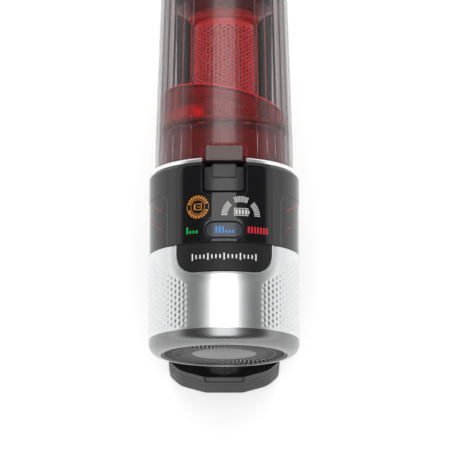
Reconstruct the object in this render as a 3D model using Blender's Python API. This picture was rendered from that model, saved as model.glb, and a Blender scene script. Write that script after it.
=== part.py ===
"""An in-line cordless handheld vacuum, in metres, +Z up and +Y towards the nozzle.

The origin is the centre of the battery's flat base. The long body lies along Y, AXIS_Z above it.
Heights that say "over the axis" are measured from the body's axis.
"""

import math

import bmesh
import bpy
from mathutils import Vector

MM = 0.001
GAP = 0.3 * MM  # clearance between pieces that don't slide
TINY = 1e-7

# Body
BODY_R = 45 * MM
BATTERY_HEIGHT = 42 * MM
DOCK_HEIGHT = 19.5 * MM
GRIP_LENGTH = 80.9 * MM  # from the dock to the body's underside
GRIP_BASE_Z = BATTERY_HEIGHT + DOCK_HEIGHT + 2 * GAP
AXIS_Z = GRIP_BASE_Z + GRIP_LENGTH + BODY_R  # height of the body's axis over the battery's base
BODY_WALL = 2.5 * MM
REAR_Y = -63.5 * MM  # rear face of the exhaust
BARREL_LENGTH = 60 * MM  # silver section, exhaust ring included
CONTROL_LENGTH = 48.5 * MM  # dark section
SHOULDER = 2.5 * MM  # rounding of the dark section's front edge
TRIM_LENGTH = 3.5 * MM
TRIM_R = BODY_R - 1.8 * MM
TRIM_BORE_R = TRIM_R - 4.7 * MM
BARREL_Y = REAR_Y + BARREL_LENGTH  # seam between the silver and the dark section
SHOULDER_Y = BARREL_Y + CONTROL_LENGTH
FRONT_Y = SHOULDER_Y + TRIM_LENGTH  # face that the dust cup meets

# Exhaust
EXHAUST_LENGTH = 9 * MM
EXHAUST_ROUND = 7 * MM
GRILLE_R = BODY_R - EXHAUST_ROUND - 0.8 * MM
GRILLE_DISC_R = 19.5 * MM
GRILLE_THICK = 2.2 * MM
GRILLE_SLOTS = 24
GRILLE_SWIRL = math.radians(14)
EXHAUST_FILTER_LENGTH = 13 * MM
EXHAUST_FILTER_BORE_R = 12 * MM

# Display panel and foot plate, bent round the body. Half widths are arc lengths.
PANEL_HALF = 30.2 * MM
PANEL_THICK = 2 * MM
PANEL_MARGIN = 1.3 * MM  # rim left in front of the panel
PANEL_ROUND = 3.5 * MM
LABEL_LENGTH = 17.3 * MM
LABEL_ROUND = 12 * MM
LABEL_GAP = 0.45 * MM  # between the foot plate and its bezel
BEZEL_WIDTH = 1.0 * MM
BEZEL_RISE = 0.25 * MM
BEND_STEP = 5 * MM  # arc length of one flat facet

# Mode button in the display panel
MODE_HALF_WIDTH = 10.9 * MM
MODE_HALF_LENGTH = 4.5 * MM
MODE_Y = BARREL_Y + 7.3 * MM
MODE_GAP = 0.4 * MM

# Cup latch. Heights are over the axis.
RECESS_HALF = 12.9 * MM
RECESS_LENGTH = 19 * MM
RECESS_FLOOR = BODY_R - 7 * MM
RECESS_TOP = BODY_R - 2 * MM
RECESS_WALL = 1.2 * MM
RECESS_ROUND = 2.4 * MM
RECESS_FRONT_Y = SHOULDER_Y + 0.6 * MM
LATCH_HALF = 7.4 * MM
LATCH_LENGTH = 8.8 * MM
LATCH_TOP = BODY_R - 1.4 * MM
LATCH_BOTTOM = BODY_R - 5.2 * MM
LATCH_FRONT_Y = RECESS_FRONT_Y - RECESS_WALL - 0.3 * MM
LATCH_TRAVEL = 5.5 * MM
LATCH_LEG_LENGTH = 3 * MM
LATCH_LEG_HALF = 2.8 * MM
LATCH_LEG_DROP = 6.8 * MM
TAB_HALF = 10.9 * MM
TAB_LENGTH = 9 * MM
TAB_TOP = BODY_R - 0.8 * MM

# Dust cup
CUP_LENGTH = 147 * MM
CUP_R = TRIM_R - 1.1 * MM  # outer radius at its rear end
CUP_TAPER = math.radians(1.85)
CUP_WALL = 2 * MM
FILTER_CUP_R = CUP_R - CUP_WALL - 3.3 * MM
FILTER_CUP_LENGTH = 26 * MM
FILTER_CUP_WALL = 1.5 * MM
SEAL_THICK = 2 * MM
SKIRT_R = CUP_R - CUP_WALL - 2.9 * MM
SKIRT_WALL = 1.5 * MM
SKIRT_SLANT = math.tan(math.radians(10.6))  # forward to the left
SKIRT_LEAN = math.tan(math.radians(8.7))  # back towards the bottom
SKIRT_SHORTEST = 3 * MM
SKIRT_LENGTH = SKIRT_SHORTEST + SKIRT_R * (SKIRT_LEAN + math.hypot(SKIRT_SLANT, SKIRT_LEAN))  # at the top
SHROUD_R = 19.5 * MM
SHROUD_FRONT_R = SHROUD_R - MM
SHROUD_WALL = 1.4 * MM
SHROUD_LENGTH = 69 * MM
SHROUD_ROUND = 5 * MM
CONE_R = SHROUD_R - 5.5 * MM
CONE_TIP_R = CONE_R - 6 * MM
FLANGE_THICK = 5 * MM
FLARE_R = 29.5 * MM
FLARE_LENGTH = 8 * MM
FLARE_WALL = 1.4 * MM

# Inlet duct, a crescent along the bottom of the cup, and the scroll that it feeds
DUCT_LOW_R = SHROUD_R + 2.8 * MM
DUCT_HIGH_R = CUP_R - CUP_WALL - CUP_LENGTH * math.tan(CUP_TAPER) - 1.55 * MM
DUCT_HALF_ANGLE = math.radians(60)
DUCT_WALL = 1.5 * MM
FLANGE_R = DUCT_LOW_R - 0.7 * MM
SCROLL_LOW_R = SHROUD_R + 2.5 * MM
SCROLL_HIGH_R = SKIRT_R - 2 * MM
SCROLL_LENGTH = 8.5 * MM
SCROLL_END_ANGLE = math.radians(-32)

# Lid and nozzle
LID_THICK = 7.2 * MM
LID_LIP = 1.5 * MM  # the lid's rim stands out this far past the cup
LID_SEAL_WIDTH = 2.4 * MM
HINGE_DROP = 3.15 * MM  # hinge pin under the lid's rim
HINGE_PIN_R = 1.25 * MM
HINGE_PIN_HALF = 11 * MM
KNUCKLE_R = 3 * MM
KNUCKLE_HALF = 5.5 * MM
NOZZLE_DROP = 18 * MM  # nozzle's axis under the body's axis
NOZZLE_R = 17.5 * MM
NOZZLE_BORE_R = 15 * MM
NOZZLE_LENGTH = 35 * MM
CONTACT_BLOCK_LENGTH = 9 * MM
LID_LATCH_HALF = 8 * MM
LID_LATCH_LENGTH = 12 * MM
LID_LATCH_THICK = 3.2 * MM

# Motor and fan
CAN_R = 21 * MM
CAN_LENGTH = 28 * MM
CAN_REAR_Y = REAR_Y + 23.5 * MM
CAN_WALL = 1.5 * MM
BEARING_R = 6.5 * MM
BEARING_THICK = 5 * MM
SHAFT_R = 2.5 * MM
ROTOR_R = 10 * MM
STATOR_BORE_R = 11 * MM
STATOR_LENGTH = 16 * MM
BRACKET_THICK = 3 * MM
FAN_R = 30 * MM
FAN_LENGTH = 9 * MM
FAN_BLADES = 7
FAN_SHROUD_R = 33.5 * MM
FUNNEL_R = 31.5 * MM
FUNNEL_NECK_R = 24 * MM

# Battery and its dock
BATTERY_HALF = 35.5 * MM
BATTERY_LENGTH = 111 * MM
BATTERY_SPLIT = 28 * MM
BATTERY_WALL = 2.2 * MM
BATTERY_ROUND = 2.5 * MM
TONGUE_HALF = 20 * MM
TONGUE_HEIGHT = 10 * MM
TONGUE_NECK = 16.5 * MM
TONGUE_REAR = 22 * MM  # from the battery's rear face to the tongue
CELL_R = 9.2 * MM
CELL_LENGTH = 65 * MM
RELEASE_HALF = 12 * MM
RELEASE_DEPTH = 5 * MM
RELEASE_TRAVEL = 2.5 * MM

# Pistol grip
GRIP_WALL = 2.2 * MM
GRIP_SQUARENESS = 2.6
GRIP_Y = -32 * MM
GRIP_HALF_DEPTH = 18.5 * MM
GRIP_HALF_WIDTH = 15 * MM
GRIP_FLARE = 8 * MM  # how much wider it is at each end
SCREW_R = 1.4 * MM
SCREW_HEAD_R = 2.7 * MM
SCREW_POST_R = 4 * MM
SCREW_HEIGHTS = (GRIP_BASE_Z + 9.9 * MM, GRIP_BASE_Z + 37.9 * MM, AXIS_Z - BODY_R - 9 * MM)
TRIGGER_HALF = 7 * MM
TRIGGER_LENGTH = 22 * MM
TRIGGER_REACH = 5.5 * MM  # how far it stands out of the grip
TRIGGER_PIN_R = 1.25 * MM
TRIGGER_PIN_HALF = 12 * MM
TRIGGER_BOSS_R = 2.95 * MM
TRIGGER_BOSS_END = 2.5 * MM  # past the end of the pin
TRIGGER_SLOT_GAP = 0.4 * MM
TRIGGER_Z = AXIS_Z - BODY_R - 5.2 * MM
TRIGGER_Y = GRIP_Y + 13 * MM

ROUND_STEPS = 40  # facets of the large round pieces
SMALL_STEPS = 20
PIN_STEPS = 12

LOOKS = {  # base colour, roughness, metallic, transmission
    "silver": ((0.72, 0.73, 0.74), 0.32, 1.0, 0.0),
    "bright": ((0.85, 0.85, 0.86), 0.15, 1.0, 0.0),
    "dark_gloss": ((0.06, 0.06, 0.065), 0.25, 0.0, 0.0),
    "black_gloss": ((0.012, 0.012, 0.013), 0.08, 0.0, 0.0),
    "black_matt": ((0.012, 0.012, 0.012), 0.5, 0.0, 0.0),
    "light_grey": ((0.5, 0.5, 0.51), 0.3, 0.0, 0.0),
    "clear": ((0.85, 0.82, 0.82), 0.04, 0.0, 0.9),
    "red": ((0.5, 0.012, 0.02), 0.25, 0.0, 0.0),
    "red_clear": ((0.65, 0.02, 0.03), 0.12, 0.0, 0.8),
    "steel": ((0.6, 0.6, 0.6), 0.3, 1.0, 0.0),
    "copper": ((0.7, 0.35, 0.2), 0.4, 1.0, 0.0),
    "rubber": ((0.03, 0.03, 0.03), 0.8, 0.0, 0.0),
    "foam": ((0.55, 0.55, 0.52), 0.95, 0.0, 0.0),
    "board": ((0.02, 0.12, 0.05), 0.5, 0.0, 0.0),
    "cells": ((0.05, 0.2, 0.35), 0.4, 0.0, 0.0),
}


# Outlines


def arc(u, v, radius, start, end, steps):
    """Points on an arc about (u, v). Angles run from +u towards +v."""
    angles = [start + (end - start) * k / steps for k in range(steps + 1)]
    return [(u + radius * math.cos(a), v + radius * math.sin(a)) for a in angles]


def rounded(corners, steps=4):
    """A closed outline through (u, v, radius) corners, each rounded with its radius."""
    points = []
    for k, (u, v, radius) in enumerate(corners):
        here = Vector((u, v))
        if radius < TINY:
            points.append((u, v))
            continue
        to_last = (Vector(corners[k - 1][:2]) - here).normalized()
        to_next = (Vector(corners[(k + 1) % len(corners)][:2]) - here).normalized()
        half = to_last.angle(to_next) / 2
        reach = radius / math.tan(half)
        middle = here + (to_last + to_next).normalized() * radius / math.sin(half)
        first = here + to_last * reach - middle
        turn = first.angle_signed(here + to_next * reach - middle)
        for step in range(steps + 1):
            a = math.atan2(first.y, first.x) - turn * step / steps
            points.append((middle.x + radius * math.cos(a), middle.y + radius * math.sin(a)))
    return points


def box_outline(u0, u1, v0, v1, radius=0.0, steps=4):
    corners = ((u0, v0), (u1, v0), (u1, v1), (u0, v1))
    return rounded([(u, v, radius) for u, v in corners], steps)


def grown(outline, distance):
    """An anticlockwise outline with every side moved out by a distance."""
    points = [Vector(p) for p in outline]
    result = []
    for k, here in enumerate(points):
        back = (here - points[k - 1]).normalized()
        ahead = (points[(k + 1) % len(points)] - here).normalized()
        out = Vector((back.y + ahead.y, -back.x - ahead.x)).normalized()
        stretch = max(0.4, math.sqrt((1 + back.dot(ahead)) / 2))
        result.append(tuple(here + out * distance / stretch))
    return result


# Solids


def bridged(bm, first, second):
    """Faces between two rings of the same number of vertices."""
    for k in range(len(first)):
        after = (k + 1) % len(first)
        bm.faces.new((first[k], first[after], second[after], second[k]))


def lofted(loops, capped=True, closed=False):
    """A skin over a row of loops of points, capped at both ends or closed into a ring."""
    bm = bmesh.new()
    rings = [[bm.verts.new(p) for p in loop] for loop in loops]
    following = rings[1:] + rings[:1] if closed else rings[1:]
    for this, after in zip(rings, following):
        bridged(bm, this, after)
    if capped and not closed:
        bm.faces.new(rings[0])
        bm.faces.new(rings[-1])
    return bm


def placed(u, v, w, centre, along):
    """A point at (u, v) across and w along an axis through centre."""
    x, y, z = centre
    if along == "X":
        return (x + w, y + u, z + v)
    if along == "Y":
        return (x + u, y + w, z + v)
    return (x + u, y + v, z + w)


ON_AXIS = (0.0, 0.0, AXIS_Z)


def turned(outline, steps=ROUND_STEPS, centre=ON_AXIS, along="Y"):
    """A closed outline of (radius, distance along the axis) points, turned about the axis.

    Two neighbouring points at radius 0 close the outline along the axis, between two flat caps.
    """
    on_axis = [k for k, (radius, _) in enumerate(outline) if radius < TINY]
    if on_axis:
        after = on_axis[-1] + 1 if on_axis[-1] - on_axis[0] == 1 else on_axis[0] + 1
        outline = [p for p in outline[after:] + outline[:after] if p[0] > TINY]
    loops = []
    for radius, w in outline:
        angles = [2 * math.pi * k / steps for k in range(steps)]
        loops.append(
            [placed(radius * math.sin(a), radius * math.cos(a), w, centre, along) for a in angles]
        )
    return lofted(loops, closed=not on_axis)


def disc(radius, low, high, bore=0.0, steps=ROUND_STEPS, centre=ON_AXIS, along="Y"):
    return turned([(bore, low), (radius, low), (radius, high), (bore, high)], steps, centre, along)


def prism(outline, low, high, centre=(0, 0, 0), along="Z"):
    return lofted([[placed(u, v, w, centre, along) for u, v in outline] for w in (low, high)])


def tub(outline, low, high, wall, open_end, centre=(0, 0, 0), along="Z"):
    """A box with a floor and walls, open at its high end (1) or at its low end (-1)."""
    floor, rim = (low, high) if open_end > 0 else (high, low)
    inner = grown(outline, -wall)
    rows = ((outline, floor), (outline, rim), (inner, rim), (inner, floor + wall * open_end))
    return lofted([[placed(u, v, w, centre, along) for u, v in loop] for loop, w in rows])


def on_body(angle, radius, y):
    """A point at an angle from the top, towards +X, round the body's axis."""
    return (radius * math.sin(angle), y, AXIS_Z + radius * math.cos(angle))


def bent(outline, low, high):
    """A flat outline of (arc length, y) points as a plate bent round the body."""
    bm = prism(outline, low, high)
    bmesh.ops.triangulate(bm, faces=bm.faces[:])
    reach = max(abs(u) for u, v in outline)
    for k in range(-int(reach / BEND_STEP), int(reach / BEND_STEP) + 1):
        everything = bm.verts[:] + bm.edges[:] + bm.faces[:]
        cut_at = (k * BEND_STEP, 0, 0)
        bmesh.ops.bisect_plane(bm, geom=everything, plane_co=cut_at, plane_no=(1, 0, 0), dist=1e-6)
    for vert in bm.verts:
        vert.co = on_body(vert.co.x / BODY_R, vert.co.z, vert.co.y)
    return bm


def sleeve(outer_loops, inner_loops):
    """A tube: outer loops one way, inner loops back, joined into a ring."""
    return lofted(list(outer_loops) + list(reversed(inner_loops)), closed=True)


def crescent(low_r, high_r, half_angle, y, steps=12):
    """An arched section round the bottom of the cup."""
    sweep = [math.pi - half_angle + 2 * half_angle * k / steps for k in range(steps + 1)]
    outside = [on_body(a, high_r, y) for a in sweep]
    return outside + [on_body(a, low_r, y) for a in reversed(sweep)]


def sector(low_r, high_r, low_y, high_y, start, end, steps=6):
    """A block of a ring round the body's axis."""
    loops = []
    for k in range(steps + 1):
        a = start + (end - start) * k / steps
        corners = ((low_r, low_y), (high_r, low_y), (high_r, high_y), (low_r, high_y))
        loops.append([on_body(a, r, y) for r, y in corners])
    return lofted(loops)


def coil(centre, radius, wire, turns, length, along="Y", steps=8, sides=4):
    """A compression spring from centre, along an axis."""
    loops = []
    for k in range(int(turns * steps) + 1):
        a = 2 * math.pi * k / steps
        w = wire + (length - 2 * wire) * k / (turns * steps)
        loop = []
        for side in range(sides):
            b = 2 * math.pi * side / sides
            r = radius - wire + wire * math.cos(b)
            loop.append(placed(r * math.cos(a), r * math.sin(a), w + wire * math.sin(b), centre, along))
        loops.append(loop)
    return lofted(loops)


# Objects


def material(look, name):
    found = bpy.data.materials.new(f"{look}.{name}")
    found.use_nodes = True
    colour, roughness, metallic, transmission = LOOKS[look]
    shader = found.node_tree.nodes["Principled BSDF"]
    shader.inputs["Base Color"].default_value = (*colour, 1.0)
    shader.inputs["Roughness"].default_value = roughness
    shader.inputs["Metallic"].default_value = metallic
    shader.inputs["Transmission Weight"].default_value = transmission
    return found


def added(name, bm, origin=(0, 0, 0)):
    """An object whose origin is at the given point, with its faces pointing out."""
    bmesh.ops.recalc_face_normals(bm, faces=bm.faces[:])
    bmesh.ops.translate(bm, verts=bm.verts[:], vec=-Vector(origin))
    mesh = bpy.data.meshes.new(name)
    bm.to_mesh(mesh)
    bm.free()
    mesh.shade_smooth()
    mesh.set_sharp_from_angle(angle=math.radians(30))
    found = bpy.data.objects.new(name, mesh)
    found.location = origin
    bpy.context.scene.collection.objects.link(found)
    return found


def piece(name, bm, look, origin=(0, 0, 0)):
    found = added(name, bm, origin)
    found.data.materials.append(material(look, name))
    return found


def tool(target, bm, operation):
    """A Boolean on the target, with a hidden object as its tool."""
    helper = added(f"{target.name}_{operation.lower()}", bm)
    helper.hide_render = True
    helper.display_type = "WIRE"
    step = target.modifiers.new(operation.lower(), "BOOLEAN")
    step.operation = operation
    step.solver = "EXACT"
    step.object = helper


def cut(target, *shapes):
    for bm in shapes:
        tool(target, bm, "DIFFERENCE")


def join(target, *shapes):
    for bm in shapes:
        tool(target, bm, "UNION")


# Main body


def panel_outline():
    """Panel with rounded front corners and a notch for the latch recess."""
    front = SHOULDER_Y - PANEL_MARGIN
    notch = BODY_R * math.asin((RECESS_HALF + 2 * GAP) / (BODY_R - PANEL_THICK))
    notch_y = RECESS_FRONT_Y - RECESS_LENGTH - GAP
    rear = BARREL_Y + GAP / 2
    right = [(notch, notch_y, RECESS_ROUND), (notch, front, 0), (PANEL_HALF, front, PANEL_ROUND)]
    left = [(-u, v, r) for u, v, r in reversed(right)]
    return rounded([(-PANEL_HALF, rear, 0), (PANEL_HALF, rear, 0)] + right[::-1] + left[::-1])


def label_path(out):
    """The foot plate's edge, moved out: down one side, round the corners and up the other."""
    half = PANEL_HALF + out
    low = BARREL_Y - LABEL_LENGTH - out
    radius = LABEL_ROUND + out
    right = arc(half - radius, low + radius, radius, -math.pi / 2, 0, 6)
    left = arc(radius - half, low + radius, radius, math.pi, 1.5 * math.pi, 6)
    straight = [((half - radius) * k / 4, low) for k in range(-3, 4)]
    return left + straight + right


def label_outline(out, top):
    path = label_path(out)
    return [(path[0][0], top)] + path + [(path[-1][0], top)]


def motor_housing():
    low = REAR_Y + EXHAUST_LENGTH + GAP
    high = BARREL_Y - GAP / 2
    barrel = piece("motor_housing", disc(BODY_R, low, high, BODY_R - BODY_WALL), "silver")
    window = label_outline(BEZEL_WIDTH + 2 * LABEL_GAP, BARREL_Y + BODY_WALL)
    cut(barrel, bent(window, BODY_R - 2 * BODY_WALL, BODY_R + BODY_WALL))
    wires = box_outline(-6 * MM, 6 * MM, GRIP_Y - 8 * MM, GRIP_Y + 8 * MM, 3 * MM)
    cut(barrel, prism(wires, AXIS_Z - BODY_R - BODY_WALL, AXIS_Z - BODY_R + 2 * BODY_WALL))


def recess_room(gap):
    """The space that the latch recess takes out of its neighbours."""
    reach = RECESS_HALF + gap
    rear = RECESS_FRONT_Y - RECESS_LENGTH - gap
    outline = box_outline(-reach, reach, rear, FRONT_Y + TAB_LENGTH)
    return prism(outline, RECESS_FLOOR - 8 * MM, BODY_R + BODY_WALL, ON_AXIS)


def control_housing():
    inner = BODY_R - BODY_WALL
    low = BARREL_Y + GAP / 2
    edge = arc(BODY_R - SHOULDER, SHOULDER_Y - SHOULDER, SHOULDER, 0, math.pi / 2, 4)
    front_r = TRIM_BORE_R + 2 * MM
    outline = [(inner, low), (BODY_R, low)] + edge
    outline += [(front_r, SHOULDER_Y), (front_r, SHOULDER_Y - 2 * MM), (inner, SHOULDER_Y - 4 * MM)]
    shell = piece("control_housing", turned(outline), "dark_gloss")
    window = grown(panel_outline(), GAP)
    cut(shell, bent(window, BODY_R - 2 * BODY_WALL, BODY_R + BODY_WALL), recess_room(GAP))


def trim_ring():
    chamfer = 0.6 * MM
    low = SHOULDER_Y + GAP
    high = FRONT_Y - GAP
    outline = [(TRIM_BORE_R, low), (TRIM_R, low), (TRIM_R, high - chamfer)]
    outline += [(TRIM_R - chamfer, high), (TRIM_BORE_R, high)]
    ring = piece("trim_ring", turned(outline), "bright")
    cut(ring, recess_room(GAP))


def display_panel():
    plate = bent(panel_outline(), BODY_R - PANEL_THICK, BODY_R)
    panel = piece("display_panel", plate, "black_gloss")
    cut(panel, bent(mode_outline(MODE_GAP), BODY_R - 2 * PANEL_THICK, BODY_R + PANEL_THICK))


def label_plate():
    outline = label_outline(0, BARREL_Y - GAP / 2)
    piece("label_plate", bent(outline, BODY_R - PANEL_THICK, BODY_R), "black_matt")
    top = BARREL_Y - GAP / 2
    inner = label_outline(LABEL_GAP, top)
    outer = label_outline(LABEL_GAP + BEZEL_WIDTH, top)
    low, high = BODY_R - PANEL_THICK, BODY_R + BEZEL_RISE
    loops = []
    for near, far in zip(inner, outer):
        corners = ((near, low), (far, low), (far, high), (near, high))
        loops.append([on_body(s / BODY_R, r, y) for (s, y), r in corners])
    piece("label_bezel", lofted(loops), "light_grey")


def latch_recess():
    front = RECESS_FRONT_Y
    rear = front - RECESS_LENGTH
    corners = [(-RECESS_HALF, rear, RECESS_ROUND), (RECESS_HALF, rear, RECESS_ROUND)]
    corners += [(RECESS_HALF, front, 0), (-RECESS_HALF, front, 0)]
    outline = rounded(corners, 3)
    low = RECESS_FLOOR - RECESS_WALL
    trough = piece("latch_recess", tub(outline, low, RECESS_TOP, RECESS_WALL, 1, ON_AXIS), "black_matt")
    leg_y = LATCH_FRONT_Y - LATCH_LENGTH / 2
    slot_low = leg_y - LATCH_LEG_LENGTH / 2 - LATCH_TRAVEL - GAP
    slot_high = leg_y + LATCH_LEG_LENGTH / 2 + GAP
    slot_half = LATCH_LEG_HALF + GAP
    rib = box_outline(-0.7 * MM, 0.7 * MM, rear + RECESS_WALL / 2, slot_low - GAP)
    stop = box_outline(-4 * MM, 4 * MM, rear, rear + RECESS_WALL)
    join(trough, prism(rib, RECESS_FLOOR - 0.4 * MM, LATCH_BOTTOM - 2 * GAP, ON_AXIS))
    join(trough, prism(stop, low - 4.5 * MM, low + RECESS_WALL / 2, ON_AXIS))
    slot = box_outline(-slot_half, slot_half, slot_low, slot_high)
    cut(trough, prism(slot, low - MM, RECESS_FLOOR + MM, ON_AXIS))


def boards():
    half = 19 * MM
    top = BODY_R - BODY_WALL - 6.4 * MM
    outline = box_outline(-half, half, BARREL_Y + 2 * MM, RECESS_FRONT_Y - RECESS_LENGTH - 2 * MM)
    piece("display_board", prism(outline, top - 1.2 * MM, top, ON_AXIS), "board")
    low = CAN_REAR_Y - 5 * MM
    piece("motor_board", disc(CAN_R, low, low + 1.6 * MM, BEARING_R, SMALL_STEPS), "board")


# Motor and fan


def motor():
    rear = CAN_REAR_Y
    front = rear + CAN_LENGTH
    seat = BEARING_R + GAP
    end = CAN_WALL
    outline = [(seat, rear), (CAN_R, rear), (CAN_R, front), (seat, front), (seat, front - end)]
    outline += [(CAN_R - CAN_WALL, front - end), (CAN_R - CAN_WALL, rear + end), (seat, rear + end)]
    piece("motor_can", turned(outline, SMALL_STEPS), "steel")
    middle = rear + CAN_LENGTH / 2
    low = middle - STATOR_LENGTH / 2
    high = middle + STATOR_LENGTH / 2
    stack_r = CAN_R - CAN_WALL - GAP
    piece("stator", disc(stack_r, low, high, STATOR_BORE_R, SMALL_STEPS), "copper")
    for name, y in (("bearing_rear", rear), ("bearing_front", front - BEARING_THICK)):
        ring = disc(BEARING_R, y, y + BEARING_THICK, SHAFT_R + 0.05 * MM, SMALL_STEPS)
        piece(name, ring, "steel")


def motor_carriers():
    rear = CAN_REAR_Y + 3 * MM
    inner = CAN_R + GAP
    outer = BODY_R - BODY_WALL - GAP
    bracket = piece("motor_bracket", disc(outer, rear, rear + BRACKET_THICK, inner), "black_matt")
    for k in range(6):
        a = 2 * math.pi * (k + 0.5) / 6
        half = math.radians(22)
        low_r, high_r = inner + 4 * MM, outer - 4 * MM
        past = rear + BRACKET_THICK + MM
        cut(bracket, sector(low_r, high_r, rear - MM, past, a - half, a + half, 2))
    low = CAN_REAR_Y + CAN_LENGTH - 7 * MM
    mount = disc(FAN_SHROUD_R, low, low + 4 * MM, inner, SMALL_STEPS)
    piece("motor_mount", mount, "rubber")


def rotor():
    fan_y = CAN_REAR_Y + CAN_LENGTH + 6 * MM
    low = CAN_REAR_Y - 3 * MM
    high = fan_y + FAN_LENGTH + 4 * MM
    origin = (0, fan_y, AXIS_Z)
    piece("motor_shaft", disc(SHAFT_R, low, high, 0, PIN_STEPS), "steel", origin)
    middle = CAN_REAR_Y + CAN_LENGTH / 2
    core_half = STATOR_LENGTH / 2 - MM
    core = disc(ROTOR_R, middle - core_half, middle + core_half, SHAFT_R + 0.1 * MM, SMALL_STEPS)
    piece("rotor_core", core, "copper", origin)
    impeller(fan_y, origin)


def impeller(fan_y, origin):
    hub_r = 7 * MM
    bore = SHAFT_R + 0.1 * MM
    plate = fan_y + 1.6 * MM
    high = fan_y + FAN_LENGTH
    outline = [(bore, fan_y), (FAN_R, fan_y), (FAN_R, plate), (hub_r + 3 * MM, plate + MM)]
    outline += [(hub_r, high), (bore, high)]
    wheel = piece("impeller", turned(outline, 28), "steel", origin)
    for k in range(FAN_BLADES):
        start = 2 * math.pi * k / FAN_BLADES
        front, back = [], []
        for step in range(4):
            t = step / 3
            radius = hub_r + (FAN_R - hub_r - 0.4 * MM) * t
            a = start - 0.9 * t
            half = 0.5 * MM / radius
            front.append((radius * math.sin(a + half), radius * math.cos(a + half)))
            back.append((radius * math.sin(a - half), radius * math.cos(a - half)))
        blade = prism(front + back[::-1], plate - 0.5 * MM, high - MM, ON_AXIS, "Y")
        join(wheel, blade)


def fan_shroud():
    wall = 1.5 * MM
    fan_y = CAN_REAR_Y + CAN_LENGTH + 6 * MM
    neck = fan_y + FAN_LENGTH + 6 * MM
    mouth = SHOULDER_Y - 4 * MM
    rim = (FAN_SHROUD_R, fan_y - 5 * MM)
    crown = (FAN_SHROUD_R, neck - 3 * MM)
    outer = [rim, crown, (FUNNEL_NECK_R, neck), (FUNNEL_R, neck + 12 * MM), (FUNNEL_R, mouth)]
    inner = [(r - wall, y - (wall if 0 < k < 3 else 0)) for k, (r, y) in enumerate(outer)]
    piece("fan_shroud", turned(outer + inner[::-1], 30), "black_matt")
    guard = slotted_disc(FUNNEL_R - wall - GAP, 8 * MM, mouth - 3 * MM, mouth - 1.2 * MM, 12, 0.0)
    piece("premotor_guard", guard, "black_matt")


def slotted_disc(radius, disc_r, low, high, slots, swirl):
    """A disc with a ring of slanted slots between its plain middle and its rim."""
    bm = bmesh.new()
    radii = (disc_r, disc_r + MM, radius - 1.5 * MM, radius)
    grid = []
    for y in (low, high):
        rows = []
        for k, r in enumerate(radii):
            twist = swirl * min(max(k - 1, 0), 1)
            steps = range(2 * slots)
            rows.append([bm.verts.new(on_body(math.pi * s / slots + twist, r, y)) for s in steps])
        grid.append(rows)
    for side in (0, 1):
        rows = grid[side]
        bm.faces.new(rows[0])
        bridged(bm, rows[0], rows[1])
        bridged(bm, rows[2], rows[3])
    bridged(bm, grid[0][3], grid[1][3])
    for s in range(2 * slots):
        after = (s + 1) % (2 * slots)
        corners = [(1, s), (2, s), (2, after), (1, after)]
        if s % 2:
            for side in (0, 1):
                bm.faces.new([grid[side][k][n] for k, n in corners])
            continue
        for (k, n), (j, m) in zip(corners, corners[1:] + corners[:1]):
            bm.faces.new([grid[0][k][n], grid[0][j][m], grid[1][j][m], grid[1][k][n]])
    return bm


# Exhaust


def exhaust():
    origin = (0, REAR_Y, AXIS_Z)
    front = REAR_Y + EXHAUST_LENGTH
    bore = GRILLE_R + GAP
    edge = arc(BODY_R - EXHAUST_ROUND, REAR_Y + EXHAUST_ROUND, EXHAUST_ROUND, -math.pi / 2, 0, 3)
    outline = [(bore, REAR_Y)] + edge + [(BODY_R, front), (bore, front)]
    piece("exhaust_ring", turned(outline), "silver", origin)
    low = REAR_Y + 0.5 * MM
    high = low + GRILLE_THICK
    grille = slotted_disc(GRILLE_R, GRILLE_DISC_R, low, high, GRILLE_SLOTS, GRILLE_SWIRL)
    piece("exhaust_grille", grille, "silver", origin)
    low = high + GAP
    block = disc(GRILLE_R - GAP, low, low + EXHAUST_FILTER_LENGTH, EXHAUST_FILTER_BORE_R, 30)
    piece("exhaust_filter", block, "foam", origin)


# Buttons on the body


def mode_outline(out):
    half = MODE_HALF_WIDTH + out
    reach = MODE_HALF_LENGTH + out
    return box_outline(-half, half, MODE_Y - reach, MODE_Y + reach, reach - 0.01 * MM, 4)


def mode_button():
    origin = (0, MODE_Y, AXIS_Z + BODY_R)
    plate = bent(mode_outline(0), BODY_R - PANEL_THICK, BODY_R + 0.1 * MM)
    piece("mode_button", plate, "dark_gloss", origin)


def cup_latch():
    rear = LATCH_FRONT_Y - LATCH_LENGTH
    middle = (rear + LATCH_FRONT_Y) / 2
    origin = (0, middle, AXIS_Z + LATCH_BOTTOM)
    outline = box_outline(-LATCH_HALF, LATCH_HALF, rear, LATCH_FRONT_Y, MM)
    button = piece("cup_latch_button", prism(outline, LATCH_BOTTOM, LATCH_TOP, ON_AXIS), "dark_gloss", origin)
    leg_low = middle - LATCH_LEG_LENGTH / 2
    leg = box_outline(-LATCH_LEG_HALF, LATCH_LEG_HALF, leg_low, leg_low + LATCH_LEG_LENGTH)
    join(button, prism(leg, LATCH_BOTTOM - LATCH_LEG_DROP, LATCH_BOTTOM + MM, ON_AXIS))
    stop = RECESS_FRONT_Y - RECESS_LENGTH + RECESS_WALL + GAP
    centre = (0, stop, AXIS_Z + RECESS_FLOOR - RECESS_WALL - 2.3 * MM)
    spring = coil(centre, 1.8 * MM, 0.3 * MM, 4, leg_low - GAP - stop)
    piece("latch_spring", spring, "steel", centre)


# Dust cup


def cup_radius(y):
    """Outer radius of the tapered cup."""
    return CUP_R - (y - FRONT_Y) * math.tan(CUP_TAPER)


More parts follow.
